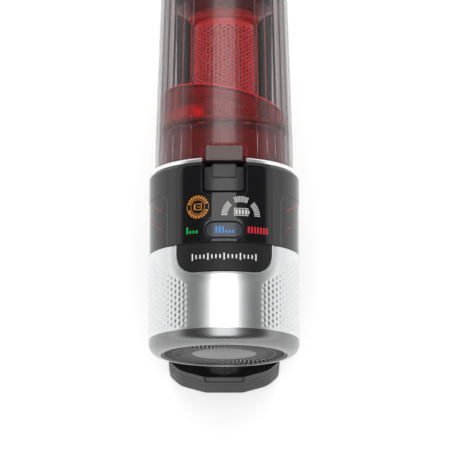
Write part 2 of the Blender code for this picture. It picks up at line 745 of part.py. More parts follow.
CUP_END_Y = FRONT_Y + CUP_LENGTH
FILTER_Y = RECESS_FRONT_Y + 2 * GAP  # rear end of the filter cup
SEAL_Y = FILTER_Y + FILTER_CUP_LENGTH + GAP
SKIRT_Y = SEAL_Y + SEAL_THICK + GAP
SHROUD_Y = FILTER_Y + FILTER_CUP_LENGTH + GAP
FLANGE_Y = SHROUD_Y + SHROUD_LENGTH + GAP
LID_Y = CUP_END_Y + GAP
LID_R = cup_radius(CUP_END_Y) + LID_LIP
LID_SEAL_Y = LID_Y - 3.8 * MM
DUCT_END_Y = LID_SEAL_Y - GAP
HINGE_Y = LID_Y + 1.2 * MM
HINGE_Z = AXIS_Z - LID_R - HINGE_DROP
CUP_ORIGIN = (0, FRONT_Y, AXIS_Z)


def cup_shell():
    low = FRONT_Y + GAP
    outline = [(cup_radius(low) - CUP_WALL, low), (cup_radius(low), low)]
    outline += [(cup_radius(CUP_END_Y), CUP_END_Y), (cup_radius(CUP_END_Y) - CUP_WALL, CUP_END_Y)]
    shell = piece("cup_shell", turned(outline), "clear", CUP_ORIGIN)
    rear = RECESS_FRONT_Y + GAP
    tab = box_outline(-TAB_HALF, TAB_HALF, rear, rear + TAB_LENGTH)
    join(shell, prism(tab, TRIM_BORE_R + 2 * MM, TAB_TOP, ON_AXIS))
    reach = cup_radius(CUP_END_Y) - CUP_WALL / 2
    ear = [
        (HINGE_Y - 14 * MM, AXIS_Z - reach, 0),
        (HINGE_Y - 14 * MM, AXIS_Z - reach - 2 * MM, 0),
        (HINGE_Y - KNUCKLE_R, HINGE_Z - KNUCKLE_R, 2 * MM),
        (HINGE_Y + KNUCKLE_R, HINGE_Z - KNUCKLE_R, 2 * MM),
        (HINGE_Y + KNUCKLE_R, HINGE_Z + 0.8 * KNUCKLE_R, 1.5 * MM),
        (CUP_END_Y - GAP, HINGE_Z + 0.8 * KNUCKLE_R, 0),
        (CUP_END_Y - GAP, AXIS_Z - reach, 0),
    ]
    near = KNUCKLE_HALF + GAP
    for side in (-1, 1):
        low, high = sorted((side * near, side * HINGE_PIN_HALF))
        join(shell, prism(rounded(ear, 3), low, high, along="X"))
    cut(shell, hinge_bore(HINGE_PIN_HALF + MM))


def hinge_bore(reach):
    centre = (0, HINGE_Y, HINGE_Z)
    return disc(HINGE_PIN_R + 0.1 * MM, -reach, reach, 0, PIN_STEPS, centre, "X")


def cyclone():
    rear_r = SHROUD_R
    front = SHROUD_Y + SHROUD_LENGTH
    bend = arc(SHROUD_FRONT_R - SHROUD_ROUND, front - SHROUD_ROUND, SHROUD_ROUND, 0, math.pi / 2, 4)
    inside = front - SHROUD_WALL
    outline = [(rear_r - SHROUD_WALL, SHROUD_Y), (rear_r, SHROUD_Y)] + bend
    outline += [(0, front), (0, inside), (SHROUD_FRONT_R - SHROUD_ROUND, inside)]
    outline += [(SHROUD_FRONT_R - SHROUD_WALL, front - SHROUD_ROUND)]
    piece("cyclone_shroud", turned(outline, 30), "red", CUP_ORIGIN)
    low = SHROUD_Y + 3 * MM
    high = front - SHROUD_ROUND - 3 * MM
    wall = 1.2 * MM
    outline = [(CONE_R - wall, low), (CONE_R, low), (CONE_TIP_R, high), (CONE_TIP_R - wall, high)]
    piece("cyclone_cone", turned(outline, SMALL_STEPS), "red", CUP_ORIGIN)
    rim = FLANGE_Y + FLARE_LENGTH
    outline = [(0, FLANGE_Y), (FLANGE_R, FLANGE_Y), (FLARE_R, rim), (FLARE_R - FLARE_WALL, rim)]
    outline += [(FLANGE_R - FLARE_WALL, FLANGE_Y + FLARE_WALL), (FLANGE_R * 0.7, FLANGE_Y + FLANGE_THICK)]
    outline += [(0, FLANGE_Y + FLANGE_THICK)]
    flange = piece("front_flange", turned(outline, 36), "red", CUP_ORIGIN)
    around = crescent(DUCT_LOW_R - GAP, DUCT_HIGH_R + GAP, DUCT_HALF_ANGLE + 0.02, FLANGE_Y - MM)
    past = [(x, rim + MM, z) for x, y, z in around]
    cut(flange, lofted([around, past]))


def shroud_skirt():
    """Collar round the scroll. Its front plate slants, furthest forward at the upper left."""
    bore = SHROUD_R + GAP
    front = SKIRT_Y + SKIRT_LENGTH
    back = front - SKIRT_WALL
    inner = SKIRT_R - SKIRT_WALL
    outline = [(inner, SKIRT_Y), (SKIRT_R, SKIRT_Y), (SKIRT_R, front)]
    outline += [(bore, front), (bore, back), (inner, back)]
    bm = turned(outline, 36)
    for vert in bm.verts:
        if vert.co.y > SKIRT_Y + TINY:
            drop = SKIRT_R - (vert.co.z - AXIS_Z)
            vert.co.y -= vert.co.x * SKIRT_SLANT + drop * SKIRT_LEAN
    skirt = piece("shroud_skirt", bm, "red_clear", CUP_ORIGIN)
    around = crescent(DUCT_LOW_R - GAP, DUCT_HIGH_R + GAP, DUCT_HALF_ANGLE + 0.02, SKIRT_Y - MM)
    past = [(x, front + 2 * SKIRT_LENGTH, z) for x, y, z in around]
    cut(skirt, lofted([around, past]))
    exit_end = SCROLL_END_ANGLE + math.radians(24)
    low = SCROLL_LOW_R + 2 * MM
    high = SCROLL_HIGH_R - 2 * MM
    cut(skirt, sector(low, high, SKIRT_Y + MM, front + SKIRT_LENGTH, SCROLL_END_ANGLE, exit_end))


def inlet_scroll():
    """Square duct that bends up the left side, from the inlet duct to the skirt's opening."""
    low_y = SKIRT_Y + GAP
    high_y = low_y + SCROLL_LENGTH
    start = -(math.pi - DUCT_HALF_ANGLE) + 0.03
    loops = ([], [])
    for k in range(13):
        a = start + (SCROLL_END_ANGLE - start) * k / 12
        for loop, wall in zip(loops, (0, DUCT_WALL)):
            corners = [(SCROLL_LOW_R + wall, low_y + wall), (SCROLL_HIGH_R - wall, low_y + wall)]
            corners += [(SCROLL_HIGH_R - wall, high_y - wall), (SCROLL_LOW_R + wall, high_y - wall)]
            loop.append([on_body(a, r, y) for r, y in corners])
    piece("inlet_scroll", sleeve(*loops), "red", CUP_ORIGIN)


def inlet_duct():
    outer = [
        crescent(DUCT_LOW_R, DUCT_HIGH_R, DUCT_HALF_ANGLE, y) for y in (SKIRT_Y + GAP, DUCT_END_Y)
    ]
    trim = DUCT_WALL / DUCT_LOW_R
    low_r = DUCT_LOW_R + DUCT_WALL
    high_r = DUCT_HIGH_R - DUCT_WALL
    inner = [crescent(low_r, high_r, DUCT_HALF_ANGLE - trim, loop[0][1]) for loop in outer]
    duct = piece("inlet_duct", sleeve(outer, inner), "black_matt", CUP_ORIGIN)
    edge = -(math.pi - DUCT_HALF_ANGLE)
    low_y = SKIRT_Y + GAP + DUCT_WALL
    high_y = low_y + SCROLL_LENGTH - 2 * DUCT_WALL
    cut(duct, sector(low_r, high_r, low_y, high_y, edge - 0.12, edge + 0.12, 2))


def filter_parts():
    low = FILTER_Y
    high = FILTER_Y + FILTER_CUP_LENGTH
    wall = FILTER_CUP_WALL
    inner = FILTER_CUP_R - wall
    air = 12 * MM
    outline = [(inner, low), (FILTER_CUP_R, low), (FILTER_CUP_R, high), (air, high)]
    outline += [(air, high - wall), (inner, high - wall)]
    piece("filter_cup", turned(outline, 36), "red_clear", CUP_ORIGIN)
    block = disc(inner - GAP, low + 1.5 * MM, high - wall - 3 * MM, 0, 36)
    piece("premotor_filter", block, "foam", CUP_ORIGIN)
    seal_r = cup_radius(SEAL_Y + SEAL_THICK) - CUP_WALL - GAP
    seal = disc(seal_r, SEAL_Y, SEAL_Y + SEAL_THICK, SHROUD_R + 2 * GAP, 36)
    piece("cyclone_seal", seal, "rubber", CUP_ORIGIN)


# Lid, nozzle and lid latch

HINGE_ORIGIN = (0, HINGE_Y, HINGE_Z)


def lid_parts():
    front = LID_Y + LID_THICK
    chamfer = 2 * MM
    outline = [(0, LID_Y), (LID_R, LID_Y), (LID_R, front - chamfer), (LID_R - chamfer, front), (0, front)]
    lid = piece("lid", turned(outline), "dark_gloss", HINGE_ORIGIN)
    knuckle = [
        (LID_Y + GAP, AXIS_Z - LID_R + 3 * MM, 0),
        (HINGE_Y - KNUCKLE_R + MM, HINGE_Z - KNUCKLE_R, 1.5 * MM),
        (HINGE_Y + KNUCKLE_R, HINGE_Z - KNUCKLE_R, 2 * MM),
        (front - 3 * MM, AXIS_Z - LID_R + 3 * MM, 0),
    ]
    join(lid, prism(rounded(knuckle, 3), -KNUCKLE_HALF, KNUCKLE_HALF, along="X"))
    half = math.radians(26)
    low_r = DUCT_LOW_R + DUCT_WALL
    high_r = DUCT_HIGH_R - DUCT_WALL
    hole = sector(low_r, high_r, LID_Y - MM, front + MM, math.pi - half, math.pi + half)
    cut(lid, hole, hinge_bore(KNUCKLE_HALF + MM))
    seal_r = cup_radius(CUP_END_Y) - CUP_WALL - 2 * GAP
    seal = disc(seal_r, LID_SEAL_Y, LID_Y - GAP, seal_r - LID_SEAL_WIDTH, 36)
    piece("lid_seal", seal, "rubber", HINGE_ORIGIN)
    pin = disc(HINGE_PIN_R, -HINGE_PIN_HALF, HINGE_PIN_HALF, 0, PIN_STEPS, HINGE_ORIGIN, "X")
    piece("lid_hinge_pin", pin, "steel", HINGE_ORIGIN)
    centre = (0, 0, AXIS_Z - NOZZLE_DROP)
    low = front + GAP
    high = low + NOZZLE_LENGTH
    tube = disc(NOZZLE_R, low, high, NOZZLE_BORE_R, 36, centre)
    piece("inlet_nozzle", tube, "black_matt", HINGE_ORIGIN)
    base = NOZZLE_R - NOZZLE_DROP + MM
    block = box_outline(-6 * MM, 6 * MM, base, base + 6 * MM, MM, 2)
    contacts = prism(block, low, low + CONTACT_BLOCK_LENGTH, ON_AXIS, "Y")
    piece("nozzle_contacts", contacts, "black_matt", HINGE_ORIGIN)


def lid_latch():
    base = LID_R + 2 * GAP
    rear = CUP_END_Y - LID_LATCH_LENGTH
    origin = (0, rear, AXIS_Z + base)
    outline = [
        (rear, base, 0),
        (CUP_END_Y + 3 * MM, base, 0),
        (CUP_END_Y + 3 * MM, base + LID_LATCH_THICK / 2, 0.5 * MM),
        (rear, base + LID_LATCH_THICK, MM),
    ]
    shape = prism(rounded(outline, 2), -LID_LATCH_HALF, LID_LATCH_HALF, (0, 0, AXIS_Z), "X")
    piece("lid_latch", shape, "black_matt", origin)


# Battery, dock and grip


def foot_outline():
    """Plan of the battery and its dock: round corners in front, broad slanted ones behind."""
    half = BATTERY_HALF
    front = BATTERY_LENGTH / 2
    right = [
        (0.34 * half, -front, 12 * MM),
        (0.8 * half, -front + 4.5 * MM, 14 * MM),
        (half, -front + 11 * MM, 4 * MM),
        (half, front, 12 * MM),
    ]
    left = [(-u, v, r) for u, v, r in reversed(right)]
    return rounded(right + left, 3)


def tongue_outline(out):
    """T section of the tongue that slides in the dock, as (x, z)."""
    head = TONGUE_HALF + out
    neck = TONGUE_NECK + out
    base = BATTERY_HEIGHT
    step = base + TONGUE_HEIGHT / 2 - out
    top = base + TONGUE_HEIGHT + out
    right = [(neck, base - MM), (neck, step), (head, step), (head, top)]
    return right + [(-u, v) for u, v in reversed(right)]


def battery():
    outline = foot_outline()
    slide_origin = (0, 0, BATTERY_HEIGHT)
    case = tub(outline, 0, BATTERY_SPLIT, BATTERY_WALL, 1)
    base = [v for v in case.verts if v.co.z < TINY]
    rim = [e for e in case.edges if all(v in base for v in e.verts)]
    bmesh.ops.bevel(case, geom=rim, offset=BATTERY_ROUND, segments=2, profile=0.5, affect="EDGES")
    piece("battery_case", case, "black_gloss", slide_origin)
    cover_low = BATTERY_SPLIT + GAP
    cover = piece(
        "battery_cover",
        tub(outline, cover_low, BATTERY_HEIGHT, BATTERY_WALL, -1),
        "black_gloss",
        slide_origin,
    )
    rear = TONGUE_REAR - BATTERY_LENGTH / 2
    join(cover, prism(tongue_outline(0), rear, BATTERY_LENGTH / 2 - 12 * MM, along="Y"))
    cell_half = CELL_LENGTH / 2
    low = BATTERY_WALL + GAP
    row = 4 * 2 * CELL_R + 3 * GAP
    top = low + 2 * CELL_R + math.sqrt(3) * CELL_R
    wide = row / 2
    corners = [(-wide, low, CELL_R), (wide, low, CELL_R), (wide - CELL_R, top, CELL_R)]
    corners += [(CELL_R - wide, top, CELL_R)]
    block = prism(rounded(corners, 5), -cell_half, cell_half, along="X")
    piece("cell_block", block, "cells", slide_origin)
    board_y = wide + 4 * MM
    face = box_outline(-cell_half + 8 * MM, cell_half - 8 * MM, low + MM, top - 2 * MM)
    piece("battery_board", prism(face, board_y, board_y + 1.6 * MM, along="Y"), "board", slide_origin)


def release_outline(out):
    """Rear button, flat on top with a rounded lower edge, as (x, z)."""
    low = BATTERY_HEIGHT + 3 * MM - out
    high = BATTERY_HEIGHT + DOCK_HEIGHT - 3 * MM + out
    half = RELEASE_HALF + out
    corners = [(-half, low, 5 * MM), (half, low, 5 * MM), (half, high, MM), (-half, high, MM)]
    return rounded(corners)


def battery_dock():
    low = BATTERY_HEIGHT + GAP
    high = BATTERY_HEIGHT + DOCK_HEIGHT
    rear = -BATTERY_LENGTH / 2
    dock = piece("battery_dock", prism(foot_outline(), low, high), "black_gloss")
    slot = prism(tongue_outline(2 * GAP), rear + TONGUE_REAR - 7 * MM, BATTERY_LENGTH, along="Y")
    pocket = prism(release_outline(GAP), rear - MM, rear + RELEASE_DEPTH + RELEASE_TRAVEL + GAP, along="Y")
    wires = disc(5 * MM, high - 10 * MM, high + MM, 0, PIN_STEPS, (0, GRIP_Y, 0), "Z")
    cut(dock, slot, pocket, wires)
    face = box_outline(-9 * MM, 9 * MM, low + 2 * MM, low + 7 * MM)
    contact_y = rear + TONGUE_REAR - 7 * MM + GAP
    piece("battery_contacts", prism(face, contact_y, contact_y + 5 * MM, along="Y"), "copper")
    button = prism(release_outline(0), rear, rear + RELEASE_DEPTH, along="Y")
    piece("battery_release", button, "black_matt", (0, rear, BATTERY_HEIGHT + DOCK_HEIGHT / 2))


def grip_size(z):
    """Half width and half depth of the grip at a height. It flares at both ends."""
    t = (z - GRIP_BASE_Z) / (AXIS_Z - BODY_R - GRIP_BASE_Z)
    flare = GRIP_FLARE * (0.5 * max(0, 1 - t * 5) ** 2 + max(0, (t - 0.72) / 0.28) ** 2)
    return GRIP_HALF_WIDTH + flare * 0.75, GRIP_HALF_DEPTH + flare


def grip_half_outline(z, side, wall):
    """Half of the grip's plan at a height, as points from its front round to its rear."""
    half_width, half_depth = (size - wall for size in grip_size(z))
    points = []
    steps = 8
    for k in range(steps + 1):
        a = math.pi / 2 - math.pi * k / steps
        u = abs(math.cos(a)) ** (2 / GRIP_SQUARENESS)
        v = math.copysign(abs(math.sin(a)) ** (2 / GRIP_SQUARENESS), math.sin(a))
        points.append((side * (u * half_width + GAP / 2), GRIP_Y + v * half_depth, z))
    return points


def handle_half(name, side):
    top = AXIS_Z - BODY_R + 7 * MM
    levels = 9
    loops = []
    for k in range(levels + 1):
        z = GRIP_BASE_Z + (top - GRIP_BASE_Z) * k / levels
        loops.append(grip_half_outline(z, side, 0) + grip_half_outline(z, side, GRIP_WALL)[::-1])
    half = piece(name, lofted(loops), "black_matt")
    for z in SCREW_HEIGHTS:
        reach = sorted((side * GAP / 2, side * (grip_size(z)[0] - GRIP_WALL / 2)))
        join(half, disc(SCREW_POST_R, *reach, 0, PIN_STEPS, (0, GRIP_Y, z), "X"))
    pivot = (0, TRIGGER_Y, TRIGGER_Z)
    boss = sorted((side * (TRIGGER_HALF + MM), side * (TRIGGER_PIN_HALF + TRIGGER_BOSS_END)))
    join(half, disc(TRIGGER_BOSS_R, *boss, 0, PIN_STEPS, pivot, "X"))
    pin_half = TRIGGER_PIN_HALF + GAP
    cut(half, disc(TRIGGER_PIN_R + GAP, -pin_half, pin_half, 0, PIN_STEPS, pivot, "X"))
    for z in SCREW_HEIGHTS:
        centre = (0, GRIP_Y, z)
        if side > 0:
            cut(half, turned(screw_outline(z, GAP, -MM, 9 * MM), PIN_STEPS, centre, "X"))
        else:
            cut(half, disc(SCREW_R + 0.1 * MM, -9 * MM, MM, 0, PIN_STEPS, centre, "X"))
    slot_half = TRIGGER_HALF + TRIGGER_SLOT_GAP
    back = TRIGGER_Y - MM
    slot = box_outline(-slot_half, slot_half, back, GRIP_Y + 3 * GRIP_HALF_DEPTH)
    low = TRIGGER_Z - TRIGGER_LENGTH - 1.5 * MM
    cut(half, prism(slot, low, top + MM), disc(BODY_R + GAP, -BODY_R * 2, BODY_R, 0, ROUND_STEPS))


def screw_outline(z, out, tip, head_length):
    """A pan-head screw at a height, from its tip to the end of its head, grown by a clearance."""
    seat = grip_size(z)[0] - 4 * MM + GAP - out
    end = seat + head_length
    shank = SCREW_R + out
    head = SCREW_HEAD_R + out
    return [(0, tip), (shank, tip), (shank, seat), (head, seat), (head, end), (0, end)]


def handle_screws():
    for k, z in enumerate(SCREW_HEIGHTS):
        shape = turned(screw_outline(z, 0, -8 * MM, 2 * MM), PIN_STEPS, (0, GRIP_Y, z), "X")
        piece(f"handle_screw_{k + 1}", shape, "steel")


def trigger_parts():
    y, z = TRIGGER_Y, TRIGGER_Z
    face = GRIP_Y + GRIP_HALF_DEPTH + TRIGGER_REACH
    low = z - TRIGGER_LENGTH
    outline = [
        (y - 2.8 * MM, z + 2.6 * MM, 2.5 * MM),
        (y - 2.8 * MM, z - 2.8 * MM, 2.5 * MM),
        (face - 7.5 * MM, z - 5 * MM, 4 * MM),
        (face - 6 * MM, low, 2 * MM),
        (face + 0.5 * MM, low, 2 * MM),
        (face - 2.5 * MM, z - TRIGGER_LENGTH / 2, 10 * MM),
        (face, z + 2.6 * MM, 3 * MM),
    ]
    shape = prism(rounded(outline, 3), -TRIGGER_HALF, TRIGGER_HALF, along="X")
    pivot = (0, y, z)
    trigger = piece("trigger", shape, "red", pivot)
    reach = TRIGGER_HALF + MM
    cut(trigger, disc(TRIGGER_PIN_R + GAP, -reach, reach, 0, PIN_STEPS, pivot, "X"))
    pin = disc(TRIGGER_PIN_R, -TRIGGER_PIN_HALF, TRIGGER_PIN_HALF, 0, PIN_STEPS, pivot, "X")
    piece("trigger_pin", pin, "steel")
    back = face - 7.2 * MM
    rear = back - 6 * MM
    switch_z = low + 6 * MM
    body = box_outline(rear - 9 * MM, rear - GAP, switch_z - 5 * MM, switch_z + 6 * MM)
    piece("trigger_switch", prism(body, -3 * MM, 3 * MM, along="X"), "black_matt")
    centre = (0, rear, switch_z)
    spring = coil(centre, 2 * MM, 0.3 * MM, 4, back - rear - GAP)
    piece("trigger_spring", spring, "steel", centre)


def clear_scene():
    for found in list(bpy.data.objects):
        bpy.data.objects.remove(found)


clear_scene()
motor_housing()
control_housing()
trim_ring()
display_panel()
label_plate()
latch_recess()
boards()
motor()
motor_carriers()
rotor()
fan_shroud()
exhaust()
mode_button()
cup_latch()
cup_shell()
cyclone()
shroud_skirt()
inlet_scroll()
inlet_duct()
filter_parts()
lid_parts()
lid_latch()
battery()
battery_dock()
handle_half("handle_left", -1)
handle_half("handle_right", 1)
handle_screws()
trigger_parts()
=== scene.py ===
"""The handheld vacuum: its looks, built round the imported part."""

import math

import bmesh
import bpy
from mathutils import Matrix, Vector


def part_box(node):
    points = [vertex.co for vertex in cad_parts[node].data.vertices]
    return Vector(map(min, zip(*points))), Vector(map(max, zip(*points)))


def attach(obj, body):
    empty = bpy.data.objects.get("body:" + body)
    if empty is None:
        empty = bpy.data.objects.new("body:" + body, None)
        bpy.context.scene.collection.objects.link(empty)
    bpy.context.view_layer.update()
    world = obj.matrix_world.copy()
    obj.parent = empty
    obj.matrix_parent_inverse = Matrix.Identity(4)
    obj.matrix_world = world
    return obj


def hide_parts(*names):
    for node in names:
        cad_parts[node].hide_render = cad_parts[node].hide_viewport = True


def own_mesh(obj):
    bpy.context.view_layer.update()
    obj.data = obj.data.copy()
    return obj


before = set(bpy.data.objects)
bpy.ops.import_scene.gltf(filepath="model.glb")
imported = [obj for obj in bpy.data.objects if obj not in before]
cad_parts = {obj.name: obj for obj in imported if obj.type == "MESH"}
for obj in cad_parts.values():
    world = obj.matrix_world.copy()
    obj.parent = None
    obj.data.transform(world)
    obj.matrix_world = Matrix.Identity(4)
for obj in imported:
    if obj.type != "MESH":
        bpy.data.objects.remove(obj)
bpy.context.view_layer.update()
MM = 0.001

# Motor, fan and their mounts. The real ones are a steel can with copper windings on a black bracket,
# an aluminium fan in its moulded shroud and a rubber mount, all closed in by the body. They keep the
# part's own shapes and take their finishes here.


def finish_group():
    """Finish of a handled, moulded surface: smudges in the roughness, fine grain and a change of tone."""
    group = bpy.data.node_groups.new("moulded_finish", "ShaderNodeTree")
    for name, start in (
        ("Roughness", 0.4),
        ("Smudge", 0.08),
        ("Grain Scale", 2500.0),
        ("Grain", 0.2),
        ("Tone", 0.1),
    ):
        socket = group.interface.new_socket(name=name, in_out="INPUT", socket_type="NodeSocketFloat")
        socket.default_value = start
    for name in ("Roughness", "Height", "Tone"):
        group.interface.new_socket(name=name, in_out="OUTPUT", socket_type="NodeSocketFloat")
    add = group.nodes.new
    link = group.links.new
    given = add("NodeGroupInput")
    out = add("NodeGroupOutput")
    place = add("ShaderNodeTexCoord")

    smears = add("ShaderNodeTexNoise")
    smears.inputs["Scale"].default_value = 38.0
    smears.inputs["Detail"].default_value = 5.0
    smears.inputs["Roughness"].default_value = 0.62
    smears.inputs["Distortion"].default_value = 0.6
    link(place.outputs["Object"], smears.inputs["Vector"])
    centred = add("ShaderNodeMapRange")
    centred.inputs["From Min"].default_value = 0.3
    centred.inputs["From Max"].default_value = 0.72
    centred.inputs["To Min"].default_value = -0.5
    centred.inputs["To Max"].default_value = 1.0
    link(smears.outputs["Fac"], centred.inputs["Value"])
    rougher = add("ShaderNodeMath")
    rougher.operation = "MULTIPLY_ADD"
    link(centred.outputs["Result"], rougher.inputs[0])
    link(given.outputs["Smudge"], rougher.inputs[1])
    link(given.outputs["Roughness"], rougher.inputs[2])
    link(rougher.outputs["Value"], out.inputs["Roughness"])

    grain = add("ShaderNodeTexNoise")
    grain.inputs["Detail"].default_value = 2.0
    link(place.outputs["Object"], grain.inputs["Vector"])
    link(given.outputs["Grain Scale"], grain.inputs["Scale"])
    raised = add("ShaderNodeMath")
    raised.operation = "MULTIPLY"
    link(grain.outputs["Fac"], raised.inputs[0])
    link(given.outputs["Grain"], raised.inputs[1])
    link(raised.outputs["Value"], out.inputs["Height"])

    patches = add("ShaderNodeTexNoise")
    patches.inputs["Scale"].default_value = 14.0
    patches.inputs["Detail"].default_value = 3.0
    link(place.outputs["Object"], patches.inputs["Vector"])
    toned = add("ShaderNodeMath")
    toned.operation = "MULTIPLY"
    link(patches.outputs["Fac"], toned.inputs[0])
    link(given.outputs["Tone"], toned.inputs[1])
    link(toned.outputs["Value"], out.inputs["Tone"])
    return group


moulded_finish = finish_group()


def look(
    name, colour, roughness, metallic=0.0, smudge=0.06, grain=0.15, scale=2500.0, tone=0.12, coat=0.0,
    coat_blur=0.04, clear=0.0, ior=1.5, glow=0.0, edge=None,
):
    """A finish of its own: one shader fed by the shared moulded finish.

    With an edge colour it is darkened where the surface turns away from the eye: painted shade, standing in
    for the longer path through a thick clear wall."""
    made = bpy.data.materials.new(name)
    made.use_nodes = True
    nodes = made.node_tree.nodes
    link = made.node_tree.links.new
    shader = nodes["Principled BSDF"]
    shader.inputs["Metallic"].default_value = metallic
    shader.inputs["IOR"].default_value = ior
    shader.inputs["Transmission Weight"].default_value = clear
    shader.inputs["Coat Weight"].default_value = coat
    shader.inputs["Coat Roughness"].default_value = coat_blur
    finish = nodes.new("ShaderNodeGroup")
    finish.node_tree = moulded_finish
    finish.inputs["Roughness"].default_value = roughness
    finish.inputs["Smudge"].default_value = smudge
    finish.inputs["Grain Scale"].default_value = scale
    finish.inputs["Grain"].default_value = grain
    finish.inputs["Tone"].default_value = tone
    link(finish.outputs["Roughness"], shader.inputs["Roughness"])
    mix = nodes.new("ShaderNodeMix")
    mix.data_type = "RGBA"
    mix.inputs["A"].default_value = (*colour, 1.0)
    mix.inputs["B"].default_value = (*[0.55 * c for c in colour], 1.0)
    link(finish.outputs["Tone"], mix.inputs["Factor"])
    # The edge colour is painted shade: the colour darkens towards it as the surface turns away from the
    # eye.
    if edge:
        facing = nodes.new("ShaderNodeLayerWeight")
        facing.inputs["Blend"].default_value = 0.5
        reach = nodes.new("ShaderNodeMapRange")
        reach.inputs["From Min"].default_value = 0.12
        reach.inputs["From Max"].default_value = 0.5
        link(facing.outputs["Facing"], reach.inputs["Value"])
        painted_flank_shade = nodes.new("ShaderNodeMix")
        painted_flank_shade.data_type = "RGBA"
        painted_flank_shade.inputs["B"].default_value = (*edge, 1.0)
        link(reach.outputs["Result"], painted_flank_shade.inputs["Factor"])
        link(mix.outputs["Result"], painted_flank_shade.inputs["A"])
        link(painted_flank_shade.outputs["Result"], shader.inputs["Base Color"])
    else:
        link(mix.outputs["Result"], shader.inputs["Base Color"])
    bump = nodes.new("ShaderNodeBump")
    bump.inputs["Distance"].default_value = 0.05 * MM
    bump.inputs["Strength"].default_value = 0.5
    link(finish.outputs["Height"], bump.inputs["Height"])
    link(bump.outputs["Normal"], shader.inputs["Normal"])
    if glow:
        link(mix.outputs["Result"], shader.inputs["Emission Color"])
        shader.inputs["Emission Strength"].default_value = glow
    return made


def dress(finish, *nodes):
    """Gives nodes of the part a finish and leaves their shapes alone."""
    for node in nodes:
        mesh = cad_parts[node].data
        mesh.materials.clear()
        mesh.materials.append(finish)


steel = look("turned_steel", (0.62, 0.61, 0.6), 0.28, metallic=1.0, smudge=0.12, scale=900.0)
copper = look("enamelled_copper", (0.68, 0.27, 0.1), 0.38, metallic=1.0, scale=1200.0, grain=0.8)
rubber = look("black_rubber", (0.02, 0.02, 0.021), 0.72, grain=0.6)
moulded_black = look("moulded_black", (0.009, 0.009, 0.01), 0.42, grain=0.5, smudge=0.1, ior=1.14)
fan_metal = look("cast_fan", (0.55, 0.56, 0.58), 0.35, metallic=1.0, grain=0.5)
dress(steel, "motor_can", "motor_shaft", "bearing_front", "bearing_rear", "rotor_core")
dress(copper, "stator")
dress(fan_metal, "impeller")
dress(moulded_black, "motor_bracket", "fan_shroud", "premotor_guard")
dress(rubber, "motor_mount")

# Circuit boards: green fibreglass cut to shape, with a thin clear lacquer. One is fixed behind the
# display and one under the motor.

board_green = look("circuit_board", (0.012, 0.09, 0.03), 0.35, coat=0.4, scale=400.0, grain=0.6)
dress(board_green, "motor_board", "display_board")

# Silver barrel: a moulded shell painted in metallic silver. Both flanks carry a field of small round
# dimples that fades out towards the top, and the foot of the display lies in a shallow pocket.

barrel_low, barrel_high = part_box("motor_housing")
AXIS_Z = (barrel_low.z + barrel_high.z) / 2
BODY_R = (barrel_high.z - barrel_low.z) / 2


def smooth(low, high, value):
    """0 below low, 1 above high and an easy curve between."""
    t = min(max((value - low) / (high - low), 0.0), 1.0)
    return t * t * (3 - 2 * t)


def on_body(angle, radius, y):
    """A point round the body's axis. Angle 0 is the top and a quarter turn is its right side."""
    return (radius * math.sin(angle), y, AXIS_Z + radius * math.cos(angle))


def shown(name, bm, finish, body, slot, *nodes, sharp=32):
    """A finished piece of the object: its mesh, finish and body, and the nodes it stands for."""
    bmesh.ops.recalc_face_normals(bm, faces=bm.faces[:])
    mesh = bpy.data.meshes.new(name)
    bm.to_mesh(mesh)
    bm.free()
    mesh.shade_smooth()
    mesh.set_sharp_from_angle(angle=math.radians(sharp))
    mesh.materials.append(finish)
    made = bpy.data.objects.new(name, mesh)
    bpy.context.scene.collection.objects.link(made)
    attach(made, body)
    if nodes:
        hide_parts(*nodes)
    return made


def loft(loops, joined=False):
    """A skin through loops of points, with its two ends capped or, if joined, run into each other."""
    bm = bmesh.new()
    rings = [[bm.verts.new(point) for point in loop] for loop in loops]
    pairs = list(zip(rings, rings[1:]))
    if joined:
        pairs.append((rings[-1], rings[0]))
    else:
        bm.faces.new(rings[0][::-1])
        bm.faces.new(rings[-1])
    count = len(rings[0])
    for near, far in pairs:
        for i in range(count):
            k = (i + 1) % count
            bm.faces.new((near[i], near[k], far[k], far[i]))
    return bm


FOOT_CORNER = 12 * MM
POCKET_DEPTH = 2.4 * MM
SCOOP_DEPTH = 0.55 * MM
SCOOP_WIDTH = 7 * MM
EDGE_EASE = 0.2 * MM
BARREL_WALL = 2.5 * MM
DIMPLE_PITCH = 3.5 * MM
DIMPLE_R = 1.5 * MM
DIMPLE_DEPTH = 0.4 * MM
label_low, label_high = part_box("label_plate")
LABEL_HALF = BODY_R * math.asin(label_high.x / BODY_R)


def dimple(u, y):
    """Depth of the dimple field at an arc length from the top and a place along the barrel."""
    column_step = DIMPLE_PITCH * math.sqrt(3) / 2
    column = round(u / column_step)
    shift = DIMPLE_PITCH / 2 if column % 2 else 0.0
    along = y - shift - DIMPLE_PITCH * round((y - shift) / DIMPLE_PITCH)
    across = u - column * column_step
    near = math.hypot(across, along) / DIMPLE_R
    return DIMPLE_DEPTH * (1 - near * near) if near < 1 else 0.0


def label_distance(u, y, half, rear, corner):
    """How far a point lies outside a foot that is rounded at its two rear corners."""
    x = abs(u) - (half - corner)
    back = (rear + corner) - y
    if x > 0 and back > 0:
        return math.hypot(x, back) - corner
    return max(x, back) - corner


def barrel_radius(angle, y):
    """The barrel's outside, with its dimples, the pocket for the foot plate and the scoop round it."""
    u = angle * BODY_R
    flank = smooth(math.radians(27), math.radians(34), abs(angle))
    flank *= 1 - smooth(math.radians(128), math.radians(140), abs(angle))
    field_front = barrel_high.y - 22 * MM + min(math.degrees(abs(angle)) - 30, 36) * 0.55 * MM
    flank *= smooth(0.0, 3 * MM, y - barrel_low.y) * smooth(0.0, 5 * MM, field_front - y)
    outside = label_distance(u, y, LABEL_HALF, label_low.y, FOOT_CORNER)
    if outside < 0.3 * MM:
        return BODY_R - POCKET_DEPTH
    scoop = SCOOP_DEPTH * (1 - smooth(0.5 * MM, SCOOP_WIDTH, outside))
    return BODY_R - scoop - flank * dimple(u, y)


